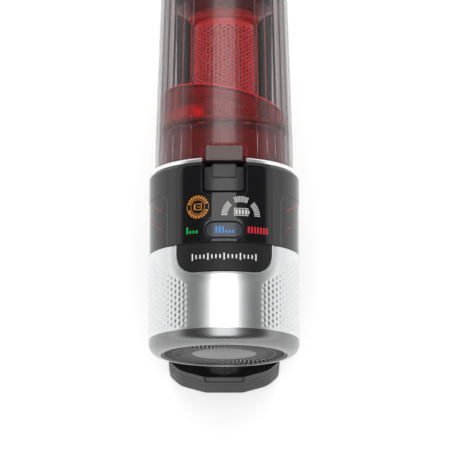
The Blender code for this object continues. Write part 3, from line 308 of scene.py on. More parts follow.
silver_paint = look(
    "silver_paint", (0.7, 0.705, 0.71), 0.32, metallic=1.0, smudge=0.03, grain=1.0, scale=3200.0, tone=0.06,
)
BARREL_ACROSS = 660
BARREL_ALONG = 122
seam_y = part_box("exhaust_ring")[1].y + 0.06 * MM
rows = [seam_y + (barrel_high.y - seam_y) * k / BARREL_ALONG for k in range(BARREL_ALONG + 1)]
angles = [math.pi * (2 * i / BARREL_ACROSS - 1) for i in range(BARREL_ACROSS)]
loops = [[on_body(a, BODY_R - BARREL_WALL, rows[0]) for a in angles]]
for k, y in enumerate(rows):
    ease = EDGE_EASE if k == BARREL_ALONG else 0.0
    loops.append([on_body(a, barrel_radius(a, y) - ease, y) for a in angles])
loops.append([on_body(a, BODY_R - BARREL_WALL, rows[-1]) for a in angles])
shown("barrel", loft(loops, joined=True), silver_paint, "body", "satin_silver", "motor_housing", sharp=50)

# Exhaust: a silver ring with a large rounded edge, turned off by hand, and the round grille in it. The
# grille is one moulding, a plain disc held by a fine swirl of vanes, and the filter lies behind. Ring and
# grille are coloured far darker than the barrel's silver: painted shade for their rear faces.


def rounded(points, steps=6):
    """An outline with filleted corners. Each point is (x, y, radius), and radius 0 keeps a corner."""
    made = []
    for i, (x, y, radius) in enumerate(points):
        here = Vector((x, y))
        if radius == 0:
            made.append((x, y))
            continue
        before = (Vector(points[i - 1][:2]) - here).normalized()
        after = (Vector(points[(i + 1) % len(points)][:2]) - here).normalized()
        half = before.angle(after) / 2
        centre = here + (before + after).normalized() * radius / math.sin(half)
        first = here + before * radius / math.tan(half) - centre
        last = here + after * radius / math.tan(half) - centre
        turn = first.angle(last)
        side = 1 if first.x * last.y - first.y * last.x > 0 else -1
        for k in range(steps + 1):
            a = side * turn * k / steps
            made.append(
                (
                    centre.x + first.x * math.cos(a) - first.y * math.sin(a),
                    centre.y + first.x * math.sin(a) + first.y * math.cos(a),
                )
            )
    return made


def lathe(outline, steps=180, start=0.0, turn=2 * math.pi, centre_z=None):
    """A ring or disc turned from an outline of (radius, y). Angles run from the top to the right."""
    bm = bmesh.new()
    height = AXIS_Z if centre_z is None else centre_z
    verts = [bm.verts.new((r * math.sin(start), y, height + r * math.cos(start))) for r, y in outline]
    edges = [bm.edges.new((verts[i], verts[(i + 1) % len(verts)])) for i in range(len(verts))]
    full = turn > 2 * math.pi - 0.001
    spun = bmesh.ops.spin(
        bm, geom=verts + edges, cent=(0, 0, height), axis=(0, 1, 0), angle=turn, steps=steps, use_merge=full
    )
    if not full:
        bm.faces.new(verts[::-1])
        last = [g for g in spun["geom_last"] if isinstance(g, bmesh.types.BMEdge)]
        bmesh.ops.contextual_create(bm, geom=last)
    bmesh.ops.remove_doubles(bm, verts=bm.verts[:], dist=1e-7)
    bmesh.ops.dissolve_degenerate(bm, edges=bm.edges[:], dist=1e-7)
    return bm


ring_low, ring_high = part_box("exhaust_ring")
grille_low, grille_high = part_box("exhaust_grille")
grille_r = (grille_high.x - grille_low.x) / 2
ring_bore = grille_r + 0.4 * MM
RING_EDGE_R = 7 * MM
ring_outline = rounded(
    [
        (ring_bore, ring_high.y, 0),
        (BODY_R, ring_high.y, 0),
        (BODY_R, ring_low.y, RING_EDGE_R),
        (ring_bore, ring_low.y, 0.4 * MM),
    ],
    10,
)
# A darker copy of the barrel's silver: painted shade on the rear rim.
ring_silver_painted_shade = look(
    "ring_silver_painted_shade", (0.26, 0.261, 0.264), 0.25, metallic=1.0, smudge=0.03, grain=1.0, scale=3200.0, tone=0.06
)
shown("exhaust_rim", lathe(ring_outline, 220), ring_silver_painted_shade, "exhaust_ring", "satin_silver", "exhaust_ring")


def several(bms):
    """One mesh out of several."""
    first = bms[0]
    for other in bms[1:]:
        spare = bpy.data.meshes.new("spare")
        other.to_mesh(spare)
        other.free()
        first.from_mesh(spare)
        bpy.data.meshes.remove(spare)
    return first


DISC_R = 19.5 * MM
DISC_INSET = 0.5 * MM
RIM_WIDTH = 1.6 * MM
RING_WIDTH = 0.7 * MM
VANES = 64
VANE_STEPS = 8
VANE_HALF = 0.42 * MM
VANE_SWEEP = math.radians(16)
rear = grille_low.y
front = grille_high.y
face = rear + DISC_INSET
parts = [lathe(rounded([(0, face, 0), (DISC_R, face, 0.5 * MM), (DISC_R, front, 0), (0, front, 0)], 3))]
rim = rounded(
    [(grille_r - RIM_WIDTH, rear, 0.4 * MM), (grille_r, rear, 0.4 * MM), (grille_r, front, 0)], 3
)
parts.append(lathe(rim + [(grille_r - RIM_WIDTH, front)]))
for r in (24.4 * MM, 30 * MM):
    parts.append(lathe([(r, face), (r + RING_WIDTH, face), (r + RING_WIDTH, front), (r, front)]))
for n in range(VANES):
    base = 2 * math.pi * n / VANES
    sections = []
    for k in range(VANE_STEPS + 1):
        share = k / VANE_STEPS
        r = DISC_R - 0.3 * MM + (grille_r - 1.2 * MM - DISC_R) * share
        a = base + VANE_SWEEP * share**1.3
        half = VANE_HALF / r
        vane_rear = rear + 0.35 * MM
        corners = ((-half, vane_rear), (half, vane_rear), (half, front), (-half, front))
        sections.append([on_body(a + turn, r, y) for turn, y in corners])
    parts.append(loft(sections))
# Dark grey metal in place of silver: painted shade on the grille's rear face.
grille_grey_painted_shade = look(
    "grille_grey_painted_shade", (0.105, 0.105, 0.107), 0.34, metallic=0.9, smudge=0.04, grain=0.6, scale=3200.0,
    tone=0.06,
)
shown("exhaust_vanes", several(parts), grille_grey_painted_shade, "exhaust_unit", "satin_silver", "exhaust_grille")
felt = look("filter_felt", (0.5, 0.5, 0.48), 0.95, grain=1.0, scale=1600.0, tone=0.4)
dress(felt, "exhaust_filter")

# Dark section: the moulded collar round the fan, in dark grey gloss, with a soft front shoulder. Each
# side has a shallow panel with rounded ends, and the display lies in a pocket at the top.

control_low, control_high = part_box("control_housing")
panel_low, panel_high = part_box("display_panel")
recess_low, recess_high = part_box("latch_recess")
PANEL_HALF = BODY_R * math.asin(panel_high.x / BODY_R)
SHOULDER = 2.5 * MM
PANEL_SIDE = BODY_R * math.radians(48.3)
SIDE_FRONT = control_low.y + 31.8 * MM
SIDE_CORNER = 7 * MM
SIDE_DEPTH = 0.3 * MM
WINDOW_POCKET = 2.3 * MM
LATCH_POCKET = 7.4 * MM
COLLAR_WALL = 7.6 * MM
COLLAR_ACROSS = 560
COLLAR_ALONG = 100


def control_radius(angle, y):
    """The collar's outside, with its shoulder, the pockets for window and latch and the side panels."""
    u = angle * BODY_R
    to_front = control_high.y - y
    radius = BODY_R
    if to_front < SHOULDER:
        radius -= SHOULDER - math.sqrt(max(SHOULDER**2 - (SHOULDER - to_front) ** 2, 0))
    if abs(u) < PANEL_HALF - 0.5 * MM and panel_low.y - MM < y < panel_high.y - 1.2 * MM:
        return BODY_R - WINDOW_POCKET
    if abs(u) < recess_high.x - 0.6 * MM and y > recess_low.y + 0.6 * MM:
        return BODY_R - LATCH_POCKET
    under = math.pi * BODY_R
    outside = label_distance(under - abs(u), -y, under - PANEL_SIDE, -SIDE_FRONT, SIDE_CORNER)
    return radius - SIDE_DEPTH * (1 - smooth(-0.5 * MM, 0.0, outside))


dark_gloss = look("dark_gloss", (0.035, 0.035, 0.037), 0.2, smudge=0.05, grain=0.05, ior=1.38)
collar_length = control_high.y - control_low.y
rows = [control_low.y + collar_length * k / COLLAR_ALONG for k in range(COLLAR_ALONG + 1)]
angles = [math.pi * (2 * i / COLLAR_ACROSS - 1) for i in range(COLLAR_ACROSS)]
loops = [[on_body(a, BODY_R - COLLAR_WALL, rows[0]) for a in angles]]
loops += [[on_body(a, control_radius(a, y), y) for a in angles] for y in rows]
loops += [[on_body(a, BODY_R - COLLAR_WALL, rows[-1]) for a in angles]]
collar = loft(loops, joined=True)
shown("dark_collar", collar, dark_gloss, "body", "dark_gloss", "control_housing", sharp=40)

# Flank lines: two fine strips of dark red plastic are let into each side panel and curve forward round
# the flank.


def ribbon(name, path, width, low, high, finish, body, slot):
    """A thin strip along a path of (arc length, y), between two heights over the body's surface."""
    sections = []
    for i, (u, y) in enumerate(path):
        ahead = (Vector(path[min(i + 1, len(path) - 1)]) - Vector(path[max(i - 1, 0)])).normalized()
        side = Vector((-ahead.y, ahead.x)) * width / 2
        corners = ((-side, low), (-side, high), (side, high), (side, low))
        here = Vector((u, y))
        sections.append([on_body((here + o).x / BODY_R, BODY_R + h, (here + o).y) for o, h in corners])
    return shown(name, loft(sections), finish, body, slot)


flash_red = look("flash_red", (0.3, 0.012, 0.02), 0.25, grain=0.05)
for side, word in ((-1, "left"), (1, "right")):
    for n, (start_y, rise) in enumerate(((19.2 * MM, 8.5 * MM), (7.5 * MM, 12 * MM))):
        path = []
        for k in range(25):
            degrees = 55.5 + 44 * k / 24
            climb = rise * math.sin(math.pi / 2 * k / 24)
            path.append((side * BODY_R * math.radians(degrees), start_y + climb))
        ribbon(f"flash_{word}_{n + 1}", path, 0.55 * MM, -0.6 * MM, -0.22 * MM, flash_red, "body", "red")

# Trim ring: a bright polished metal band that the dust cup closes against, pressed on to the front of
# the dark section and open at the top for the latch.

trim_low, trim_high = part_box("trim_ring")
trim_r = (trim_high.x - trim_low.x) / 2
bright = look("polished_trim", (0.9, 0.9, 0.9), 0.24, metallic=0.85, smudge=0.04, grain=0.05)
opening = math.asin((recess_high.x + 0.3 * MM) / trim_r)
trim_outline = rounded(
    [
        (trim_r - 4.7 * MM, trim_low.y, 0),
        (trim_r, trim_low.y, 0.5 * MM),
        (trim_r, trim_high.y, 1.3 * MM),
        (trim_r - 4.7 * MM, trim_high.y, 0.4 * MM),
    ]
)
trim = lathe(trim_outline, 200, opening, 2 * math.pi - 2 * opening)
shown("polished_ring", trim, bright, "body", "bright_trim", "trim_ring")

# Display: a curved black glossy window let into the dark section, its rim set off by a fine dark gap,
# with an oval hole for the mode key. Behind it shine a filter reminder, a fan gauge with a battery and
# marks for the power levels.


def plate(outline, top, thick, edge=0.3 * MM, bend=True, step=1.0 * MM, hole=None):
    """A plate with a rounded rim, cut to an outline of (arc length, y) and bent round the body.

    Without bend it stays level, with its top that far over the body's axis."""
    bm = bmesh.new()
    loops = [[bm.verts.new((u, y, -thick)) for u, y in loop] for loop in (outline, hole) if loop]
    if hole:
        sides = [bm.edges.new((loop[i - 1], loop[i])) for loop in loops for i in range(len(loop))]
        bmesh.ops.triangle_fill(bm, edges=sides, use_beauty=True, normal=(0, 0, 1))
    else:
        bm.faces.new(loops[0])
    grown = bmesh.ops.extrude_face_region(bm, geom=bm.faces[:])
    raised = [v for v in grown["geom"] if isinstance(v, bmesh.types.BMVert)]
    bmesh.ops.translate(bm, verts=raised, vec=(0, 0, thick))
    if edge:
        bm.normal_update()
        rim = [e for e in bm.edges if all(abs(v.co.z) < 1e-7 for v in e.verts)]
        rim = [e for e in rim if any(abs(f.normal.z) < 0.5 for f in e.link_faces)]
        bmesh.ops.bevel(bm, geom=rim, offset=edge, segments=3, profile=0.5, affect="EDGES", material=-1)
    if bend:
        low = min(u for u, y in outline)
        high = max(u for u, y in outline)
        for k in range(1, int((high - low) / step)):
            geom = bm.verts[:] + bm.edges[:] + bm.faces[:]
            bmesh.ops.bisect_plane(bm, geom=geom, plane_co=(low + k * step, 0, 0), plane_no=(1, 0, 0))
        for vert in bm.verts:
            vert.co = on_body(vert.co.x / BODY_R, top + vert.co.z, vert.co.y)
    else:
        bmesh.ops.translate(bm, verts=bm.verts[:], vec=(0, 0, AXIS_Z + top))
    return bm


PANEL_TOP = BODY_R + 0.1 * MM
notch = BODY_R * math.asin((recess_high.x + 0.3 * MM) / BODY_R)
panel_outline = rounded(
    [
        (-PANEL_HALF, panel_low.y, 0),
        (PANEL_HALF, panel_low.y, 0),
        (PANEL_HALF, panel_high.y, 3.5 * MM),
        (notch, panel_high.y, 0),
        (notch, recess_low.y - 0.3 * MM, 2.6 * MM),
        (-notch, recess_low.y - 0.3 * MM, 2.6 * MM),
        (-notch, panel_high.y, 0),
        (-PANEL_HALF, panel_high.y, 3.5 * MM),
    ]
)
mode_low, mode_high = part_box("mode_button")
mode_half = BODY_R * math.asin(mode_high.x / BODY_R)


def oval(wider):
    """The mode key's outline, let out by some width."""
    half = mode_half + wider
    length = mode_high.y - mode_low.y + 2 * wider
    corners = [
        (-half, mode_low.y - wider, length * 0.49),
        (half, mode_low.y - wider, length * 0.49),
        (half, mode_high.y + wider, length * 0.49),
        (-half, mode_high.y + wider, length * 0.49),
    ]
    return rounded(corners, 10)


WINDOW_THICK = 1.9 * MM
KEY_GAP = 0.55 * MM
black_gloss = look(
    "black_window", (0.006, 0.006, 0.007), 0.05, smudge=0.03, grain=0.02, coat=0.25, ior=1.38, tone=0.2
)
window = plate(panel_outline, PANEL_TOP, WINDOW_THICK, hole=oval(KEY_GAP))
shown("display_window", window, black_gloss, "body", "black_gloss", "display_panel")

rim = [(PANEL_HALF + 0.3 * MM, panel_low.y)]
for k in range(9):
    a = math.pi / 2 * k / 8
    reach = 3.8 * MM
    rim.append(
        (
            PANEL_HALF + 0.3 * MM - reach + reach * math.cos(a),
            panel_high.y + 0.3 * MM - reach + reach * math.sin(a),
        )
    )
rim.append((notch, panel_high.y + 0.3 * MM))
for side, word in ((-1, "left"), (1, "right")):
    edge = [(side * u, y) for u, y in rim]
    ribbon(f"window_gap_{word}", edge, 0.8 * MM, -1.5 * MM, 0.04 * MM, rubber, "body", "black_rubber")

INK_TOP = PANEL_TOP + 0.05 * MM


def arc_band(centre, low_r, high_r, start, end, steps=8):
    """Outline of part of a flat ring, with angles in degrees from straight ahead to the right."""
    u, y = centre
    turn = [math.radians(start + (end - start) * k / steps) for k in range(steps + 1)]
    outer = [(u + high_r * math.sin(a), y + high_r * math.cos(a)) for a in turn]
    inner = [(u + low_r * math.sin(a), y + low_r * math.cos(a)) for a in turn[::-1]]
    return outer + inner


def block(centre, width, length, corner=0.0):
    """Outline of a rectangle round its centre, with its corners rounded off."""
    u, y = centre
    w = width / 2
    h = length / 2
    sides = ((-w, -h), (w, -h), (w, h), (-w, h))
    return rounded([(u + over, y + along, corner) for over, along in sides], 3)


def ink(name, outlines, colour, glow, body="body", top=INK_TOP):
    """Thin marks on the window, all in one colour."""
    finish = look(name, colour, 0.3, glow=glow, grain=0.0, tone=0.05)
    marks = several([plate(o, top, 0.12 * MM, 0) for o in outlines])
    return shown(name, marks, finish, body, "black_gloss")


reminder = (-15.9 * MM, 17.9 * MM)
REMINDER_R = 6.9 * MM
teeth = [*range(-75, 75, 15), *range(105, 255, 15)]
marks = [arc_band(reminder, REMINDER_R - 1.8 * MM, REMINDER_R, a + 2.5, a + 12, 3) for a in teeth]
marks += [arc_band(reminder, REMINDER_R - 0.3 * MM, REMINDER_R, a, a + 28, 4) for a in (76, 256)]
marks += [arc_band(reminder, 4.2 * MM, 4.5 * MM, 180 * h, 180 * h + 180, 16) for h in (0, 1)]
u, y = reminder
marks += [
    block((u - 1.9 * MM, y), 0.9 * MM, 3.4 * MM),
    block((u + 2.3 * MM, y), 0.45 * MM, 4.2 * MM),
    block((u + 0.5 * MM, y + 1.75 * MM), 3.4 * MM, 0.4 * MM),
    block((u + 0.5 * MM, y - 1.75 * MM), 3.4 * MM, 0.4 * MM),
    block((u + 0.6 * MM, y), 1.6 * MM, 0.4 * MM),
]
ink("filter_reminder", marks, (0.55, 0.2, 0.03), 0.2)

gauge = (10.1 * MM, 12.3 * MM)
ticks = []
for first in (-89, -23, 43):
    for k in range(9):
        a = first + k * 5.4
        ticks.append(arc_band(gauge, 8.2 * MM, 11.8 * MM, a, a + 2.7, 2))
u, y = gauge
y += 2.3 * MM
ticks += [
    block((u, y + 2.1 * MM), 8.6 * MM, 0.4 * MM),
    block((u, y - 2.1 * MM), 8.6 * MM, 0.4 * MM),
    block((u - 4.1 * MM, y), 0.4 * MM, 4.0 * MM),
    block((u + 4.1 * MM, y), 0.4 * MM, 4.0 * MM),
    block((u + 4.75 * MM, y), 0.6 * MM, 1.8 * MM),
]
ticks += [block((u - 2.85 * MM + 1.9 * MM * k, y), 1.3 * MM, 2.9 * MM) for k in range(4)]
ink("fan_gauge", ticks, (0.5, 0.5, 0.49), 0.25)


def level_mark(centre, count, level, width):
    """A row of upright bars. The first ones stand full height and the others are short."""
    u, y = centre
    height = 4.0 * MM
    pitch = width / count
    bars = []
    for k in range(count):
        tall = height if k < level else height * 0.45
        place = (u + pitch * (k - (count - 1) / 2), y - (height - tall) / 2)
        bars.append(block(place, pitch * 0.6, tall, 0.25 * MM))
    return bars


ink("level_low", level_mark((-19.5 * MM, 4.1 * MM), 4, 1, 8.2 * MM), (0.005, 0.3, 0.06), 0.25)
ink("level_high", level_mark((20.6 * MM, 4.1 * MM), 7, 7, 14.0 * MM), (0.5, 0.015, 0.03), 0.2)

# Mode button: a dark blue-grey oval key that fills the hole in the window, pressed through it, with its
# own lit blue mark of the power level.

key_gloss = look("key_gloss", (0.05, 0.058, 0.075), 0.2, smudge=0.03, grain=0.02, ior=1.4)
key = plate(oval(0.0), PANEL_TOP + 0.05 * MM, 1.3 * MM, 0.6 * MM)
shown("mode_key", key, key_gloss, "mode_button", "black_gloss", "mode_button")
glow_blue = (0.01, 0.16, 0.42)
auto_bars = level_mark((0.3 * MM, 3.8 * MM), 6, 3, 11.8 * MM)
ink("level_auto", auto_bars, glow_blue, 0.4, "mode_button", INK_TOP + 0.05 * MM)

# Foot of the display: a black satin plate with round corners in a fine light bezel, on the silver barrel. A
# row of plain bars is printed on it, and the print glows a little: painted light.

label_outline = rounded(
    [
        (-LABEL_HALF, label_high.y, 0),
        (LABEL_HALF, label_high.y, 0),
        (LABEL_HALF, label_low.y, FOOT_CORNER),
        (-LABEL_HALF, label_low.y, FOOT_CORNER),
    ],
    14,
)
satin_black = look("satin_black", (0.008, 0.008, 0.009), 0.5, smudge=0.05, grain=0.25, ior=1.35)
foot = plate(label_outline, BODY_R + 0.02 * MM, WINDOW_THICK, 0.3 * MM)
shown("display_foot", foot, satin_black, "body", "black_matt", "label_plate")

BEZEL_WIDTH = 1.0 * MM
BEZEL_GAP = 0.4 * MM
path = []
half = LABEL_HALF + BEZEL_GAP + BEZEL_WIDTH / 2
corner = FOOT_CORNER + BEZEL_GAP + BEZEL_WIDTH / 2
bezel_low = label_low.y - BEZEL_GAP - BEZEL_WIDTH / 2
path.append((half, label_high.y))
for k in range(25):
    a = math.pi / 2 * k / 24
    path.append((half - corner + corner * math.cos(a), bezel_low + corner - corner * math.sin(a)))
straight = 24
right_end = path[-1][0]
path += [(right_end - 2 * right_end * k / straight, path[-1][1]) for k in range(1, straight)]
path += [(-u, y) for u, y in path[:26][::-1]]
sections = []
for i, (u, y) in enumerate(path):
    before = Vector(path[max(i - 1, 0)])
    after = Vector(path[min(i + 1, len(path) - 1)])
    ahead = (after - before).normalized()
    side = Vector((-ahead.y, ahead.x)) * BEZEL_WIDTH / 2
    section = []
    for share, rise in ((-1, -1.2), (-1, 0.05), (-0.6, 0.22), (0.6, 0.22), (1, 0.05), (1, -1.2)):
        v = Vector((u, y)) + side * share
        section.append(on_body(v.x / BODY_R, BODY_R + rise * MM, v.y))
    sections.append(section)
light_grey = look("light_bezel", (0.42, 0.42, 0.43), 0.25, metallic=0.6, grain=0.1)
shown("foot_bezel", loft(sections), light_grey, "body", "light_grey", "label_bezel")
bars = []
for k in range(17):
    tall = 4.1 * MM if k % 4 == 0 else 2.4 * MM
    bars.append(block(((k - 8) * 2.4 * MM, -12.1 * MM), 0.85 * MM, tall, 0.2 * MM))
# The printed bars glow a little: painted light that brightens the print.
ink("foot_bars_painted_glow", bars, (0.62, 0.62, 0.6), 0.2, top=BODY_R + 0.09 * MM)

# Latch recess: a black tub behind the trim ring, open to the front, with a raised rib on its floor that
# guides the button, and a fine strip along each side. Rib and strips are a lighter grey than the tub:
# painted highlights for the light lines in the recess.

recess_floor = recess_low.z - AXIS_Z
tub_black = look("tub_black", (0.005, 0.005, 0.006), 0.4, smudge=0.05, grain=0.1, ior=1.05)
dress(tub_black, "latch_recess")
rib_y = (recess_low.y + 1.5 * MM, recess_low.y + 5.3 * MM)
guide = block((0.4 * MM, sum(rib_y) / 2), 1.4 * MM, rib_y[1] - rib_y[0], 0.3 * MM)
# Lighter grey than the tub: painted highlights on the rib and the two thin side strips.
painted_highlight_finish = look("rib_painted_highlight", (0.12, 0.12, 0.125), 0.3, grain=0.1)
highlight_strip_x = recess_high.x - 2.4 * MM
edges = [block((side * highlight_strip_x, recess_low.y + 9.6 * MM), 0.35 * MM, 14 * MM) for side in (-1, 1)]
guides = several(
    [plate(guide, recess_floor + 2.6 * MM, 1.6 * MM, 0.3 * MM, False)]
    + [plate(e, recess_floor + 4.3 * MM, 3.2 * MM, 0, False) for e in edges]
)
shown("latch_guides", guides, painted_highlight_finish, "body", "light_grey")

# Cup latch: a dark grey plastic button with rounded edges. It slides back in its recess against a steel
# spring.

button_low, button_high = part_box("cup_latch_button")
button = block(
    ((button_low.x + button_high.x) / 2, button_high.y - 4.4 * MM), 14.8 * MM, 8.8 * MM, 1.4 * MM
)
key_top = button_high.z - AXIS_Z
leg = block((0, button_high.y - 4.4 * MM), 5.2 * MM, 2.8 * MM, 0.4 * MM)
latch_grey = look("latch_grey", (0.035, 0.035, 0.037), 0.4, smudge=0.05, grain=0.1, ior=1.4)
latch = several(
    [
        plate(button, key_top, 3.6 * MM, 1.1 * MM, False),
        plate(leg, key_top - 3.5 * MM, button_high.z - button_low.z - 3.5 * MM, 0.2 * MM, False),
    ]
)
shown("latch_button", latch, latch_grey, "cup_latch", "dark_gloss", "cup_latch_button")
dress(steel, "trigger_pin", "lid_hinge_pin", "handle_screw_1", "handle_screw_2", "handle_screw_3")


def spring(name, node):
    """A steel coil: the node's own shape, in a mesh of its own."""
    bm = bmesh.new()
    bm.from_mesh(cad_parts[node].data)
    coil = shown(name, bm, steel, "body", "steel", node, sharp=60)
    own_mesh(coil)


spring("latch_coil", "latch_spring")

# Filter: a clear red moulded cup at the back of the dust cup holds a pleated paper filter in front of
# the fan.

filter_low, filter_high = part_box("filter_cup")
filter_r = (filter_high.x - filter_low.x) / 2
red_clear = look(
    "clear_red", (0.85, 0.1, 0.12), 0.06, clear=0.9, ior=1.3, smudge=0.03, grain=0.02, tone=0.1
)
wall = 1.5 * MM
outline = rounded(
    [
        (filter_r - wall, filter_low.y, 0),
        (filter_r, filter_low.y, 0.4 * MM),
        (filter_r, filter_high.y, 2.0 * MM),
        (12 * MM, filter_high.y, 0.5 * MM),
        (12 * MM, filter_high.y - wall, 0),
        (filter_r - wall, filter_high.y - wall, 1.0 * MM),
    ]
)
shown("filter_can", lathe(outline), red_clear, "dust_cup", "red_clear", "filter_cup")
media_low, media_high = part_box("premotor_filter")
media_r = (media_high.x - media_low.x) / 2
pleats = 60
loops = []
for y in (media_low.y, media_high.y):
    loop = []
    for k in range(pleats * 4):
        a = 2 * math.pi * k / (pleats * 4)
        depth = (0.0, 1.6, 3.2, 1.6)[k % 4] * MM
        loop.append(on_body(a, media_r - depth, y))
    loops.append(loop)
paper = look("pleated_paper", (0.6, 0.3, 0.28), 0.85, grain=0.6, tone=0.3)
shown("pleats", loft(loops), paper, "dust_cup", "foam", "premotor_filter", sharp=80)

# Cyclone seal: a soft red ring with two lips, pressed in between the filter and the cyclone. It is
# moulded in one piece.

seal_low, seal_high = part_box("cyclone_seal")
seal_r = (seal_high.x - seal_low.x) / 2
outline = rounded(
    [
        (seal_r - 1.6 * MM, seal_low.y, 0),
        (seal_r, seal_low.y, 0.3 * MM),
        (seal_r, seal_low.y + 0.7 * MM, 0.2 * MM),
        (seal_r - 0.6 * MM, seal_low.y + MM, 0),
        (seal_r, seal_high.y - 0.7 * MM, 0.2 * MM),
        (seal_r, seal_high.y, 0.3 * MM),
        (20.1 * MM, seal_high.y, 0),
        (20.1 * MM, seal_low.y, 0),
    ],
    3,
)
seal_red = look("seal_red", (0.4, 0.015, 0.022), 0.5, grain=0.4)
shown("cyclone_gasket", lathe(outline), seal_red, "dust_cup", "black_rubber", "cyclone_seal")

# Cyclone: a red tube drilled all over with fine holes, its front end rounded over and closed by a flange,
# round the red inner cone that leads the air to the filter. The cone's red is darkened: painted shade for
# the inside seen through the holes.

shroud_low, shroud_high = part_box("cyclone_shroud")
red = look("moulded_red", (0.85, 0.016, 0.026), 0.3, smudge=0.05, grain=0.1)
SHROUD_R = 19.5 * MM
SHROUD_FRONT_R = 18.5 * MM
HOLE_R = 0.88 * MM
COLUMNS = 46
HOLES_ALONG = 23
holes_rear = shroud_low.y + 4 * MM
holes_front = shroud_high.y - 5.2 * MM


def shroud_radius(y):
    """The drilled tube tapers a little towards its front end."""
    share = (y - shroud_low.y) / (shroud_high.y - shroud_low.y)
    return SHROUD_R + (SHROUD_FRONT_R - SHROUD_R) * share


bm = bmesh.new()
cell_w = 2 * math.pi / COLUMNS
cell_l = (holes_front - holes_rear) / (HOLES_ALONG + 0.5)
rim_points = [(-0.5, -0.5), (0, -0.5), (0.5, -0.5), (0.5, -0.25), (0.5, 0), (0.5, 0.25)]
rim_points += [(-across_share, -along_share) for across_share, along_share in rim_points]
for column in range(COLUMNS):
    a = cell_w * column
    late = 0.5 if column % 2 else 0.0
    for k in range(HOLES_ALONG):
        y = holes_rear + cell_l * (k + late + 0.5)
        r = shroud_radius(y)
        outer = []
        inner = []
        for across_share, along_share in rim_points:
            py = y + along_share * cell_l
            outer.append(bm.verts.new(on_body(a + across_share * cell_w, shroud_radius(py), py)))
            turn = math.atan2(along_share * cell_l, across_share * cell_w * r)
            hy = y + HOLE_R * math.sin(turn)
            inner.append(bm.verts.new(on_body(a + HOLE_R * math.cos(turn) / r, shroud_radius(hy), hy)))
        for i in range(12):
            j = (i + 1) % 12
            bm.faces.new((outer[i], outer[j], inner[j], inner[i]))
    start = holes_rear if late else holes_front - cell_l / 2
    for half in (0, 1):
        y0 = start + half * cell_l / 4
        corners = []
        for y, shares in ((y0, (-0.5, 0.0, 0.5)), (y0 + cell_l / 4, (0.5, 0.0, -0.5))):
            for share in shares:
                corners.append(bm.verts.new(on_body(a + share * cell_w, shroud_radius(y), y)))
        bm.faces.new(corners)
bmesh.ops.remove_doubles(bm, verts=bm.verts[:], dist=0.02 * MM)
bmesh.ops.recalc_face_normals(bm, faces=bm.faces[:])
TUBE_WALL = 1.2 * MM
tube = shown("drilled_tube", bm, red, "dust_cup", "red", "cyclone_shroud", sharp=60)
wall_of_tube = tube.modifiers.new("wall", "SOLIDIFY")
wall_of_tube.thickness = TUBE_WALL
wall_of_tube.offset = -1

front = shroud_high.y
nose = rounded(
    [
        (shroud_radius(holes_front), holes_front, 0),
        (shroud_radius(front), front, 5 * MM),
        (0, front, 0),
    ],
    8,
)
nose_end = front - TUBE_WALL
nose += [(0, nose_end)] + [(r - TUBE_WALL, min(y, nose_end)) for r, y in nose[::-1][1:]]
collar = [
    (SHROUD_R - 1.4 * MM, shroud_low.y),
    (SHROUD_R, shroud_low.y),
    (shroud_radius(holes_rear), holes_rear),
    (shroud_radius(holes_rear) - TUBE_WALL, holes_rear),
]
shown("tube_ends", several([lathe(nose, 96), lathe(collar, 96)]), red, "dust_cup", "red")
# Darkened red on the cone: painted shade for the inside of the tube seen through its holes.
dress(look("cone_red_painted_shade", (0.14, 0.008, 0.012), 0.4), "cyclone_cone")

flange_low, flange_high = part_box("front_flange")
flange_r = (flange_high.x - flange_low.x) / 2
hub_r = 21.6 * MM
outline = rounded(
    [
        (0, flange_low.y, 0),
        (hub_r - MM, flange_low.y, 0.5 * MM),
        (hub_r, flange_low.y + 2 * MM, MM),
        (hub_r - 5 * MM, flange_low.y + 5 * MM, 0.8 * MM),
        (0, flange_low.y + 5 * MM, 0),
    ],
    4,
)
flare = rounded(
    [
        (hub_r - 0.6 * MM, flange_low.y + 0.2 * MM, 0),
        (flange_r, flange_high.y - 0.4 * MM, 0.3 * MM),
        (flange_r - 1.4 * MM, flange_high.y, 0.3 * MM),
        (hub_r - 1.6 * MM, flange_low.y + 1.8 * MM, 0),
    ],
    3,
)
past_duct = math.radians(180 - 62.5)
shown("tube_flange", lathe(outline, 120), red, "dust_cup", "red", "front_flange")
shown("clear_flare", lathe(flare, 120, -past_duct, 2 * past_duct), red_clear, "dust_cup", "red_clear")

# Skirt, scroll and inlet duct: the incoming air runs along the bottom in a black duct, up the left side in
# a red scroll and out inside the clear red skirt, whose slanting front edge ends in a bright red bead. Bead
# and scroll also glow a little: painted light that brightens their red.

skirt_low, skirt_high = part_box("shroud_skirt")
skirt_r = (skirt_high.x - skirt_low.x) / 2
SKIRT_SLANT = math.tan(math.radians(10.6))
SKIRT_LEAN = math.tan(math.radians(8.7))
skirt_front = skirt_low.y + 17.7 * MM
skirt_wall = 1.5 * MM
PORT_R = SHROUD_R + 0.4 * MM
outline = rounded(
    [
        (skirt_r - skirt_wall, skirt_low.y, 0),
        (skirt_r, skirt_low.y, 0),
        (skirt_r, skirt_front, 1.0 * MM),
        (PORT_R, skirt_front, 0),
        (PORT_R, skirt_front - skirt_wall, 0),
        (skirt_r - skirt_wall, skirt_front - skirt_wall, 0.6 * MM),
    ],
    4,
)
clear_of_duct = math.radians(180 - 62)
bead = [
    (skirt_r - 1.3 * MM, skirt_front + 0.04 * MM),
    (skirt_r - 0.5 * MM, skirt_front + 0.04 * MM),
    (skirt_r - 0.5 * MM, skirt_front + 0.5 * MM),
    (skirt_r - 1.3 * MM, skirt_front + 0.5 * MM),
]
skirt = lathe(outline, 150, -clear_of_duct, 2 * clear_of_duct)
skirt_bead = lathe(bead, 150, -clear_of_duct, 2 * clear_of_duct)
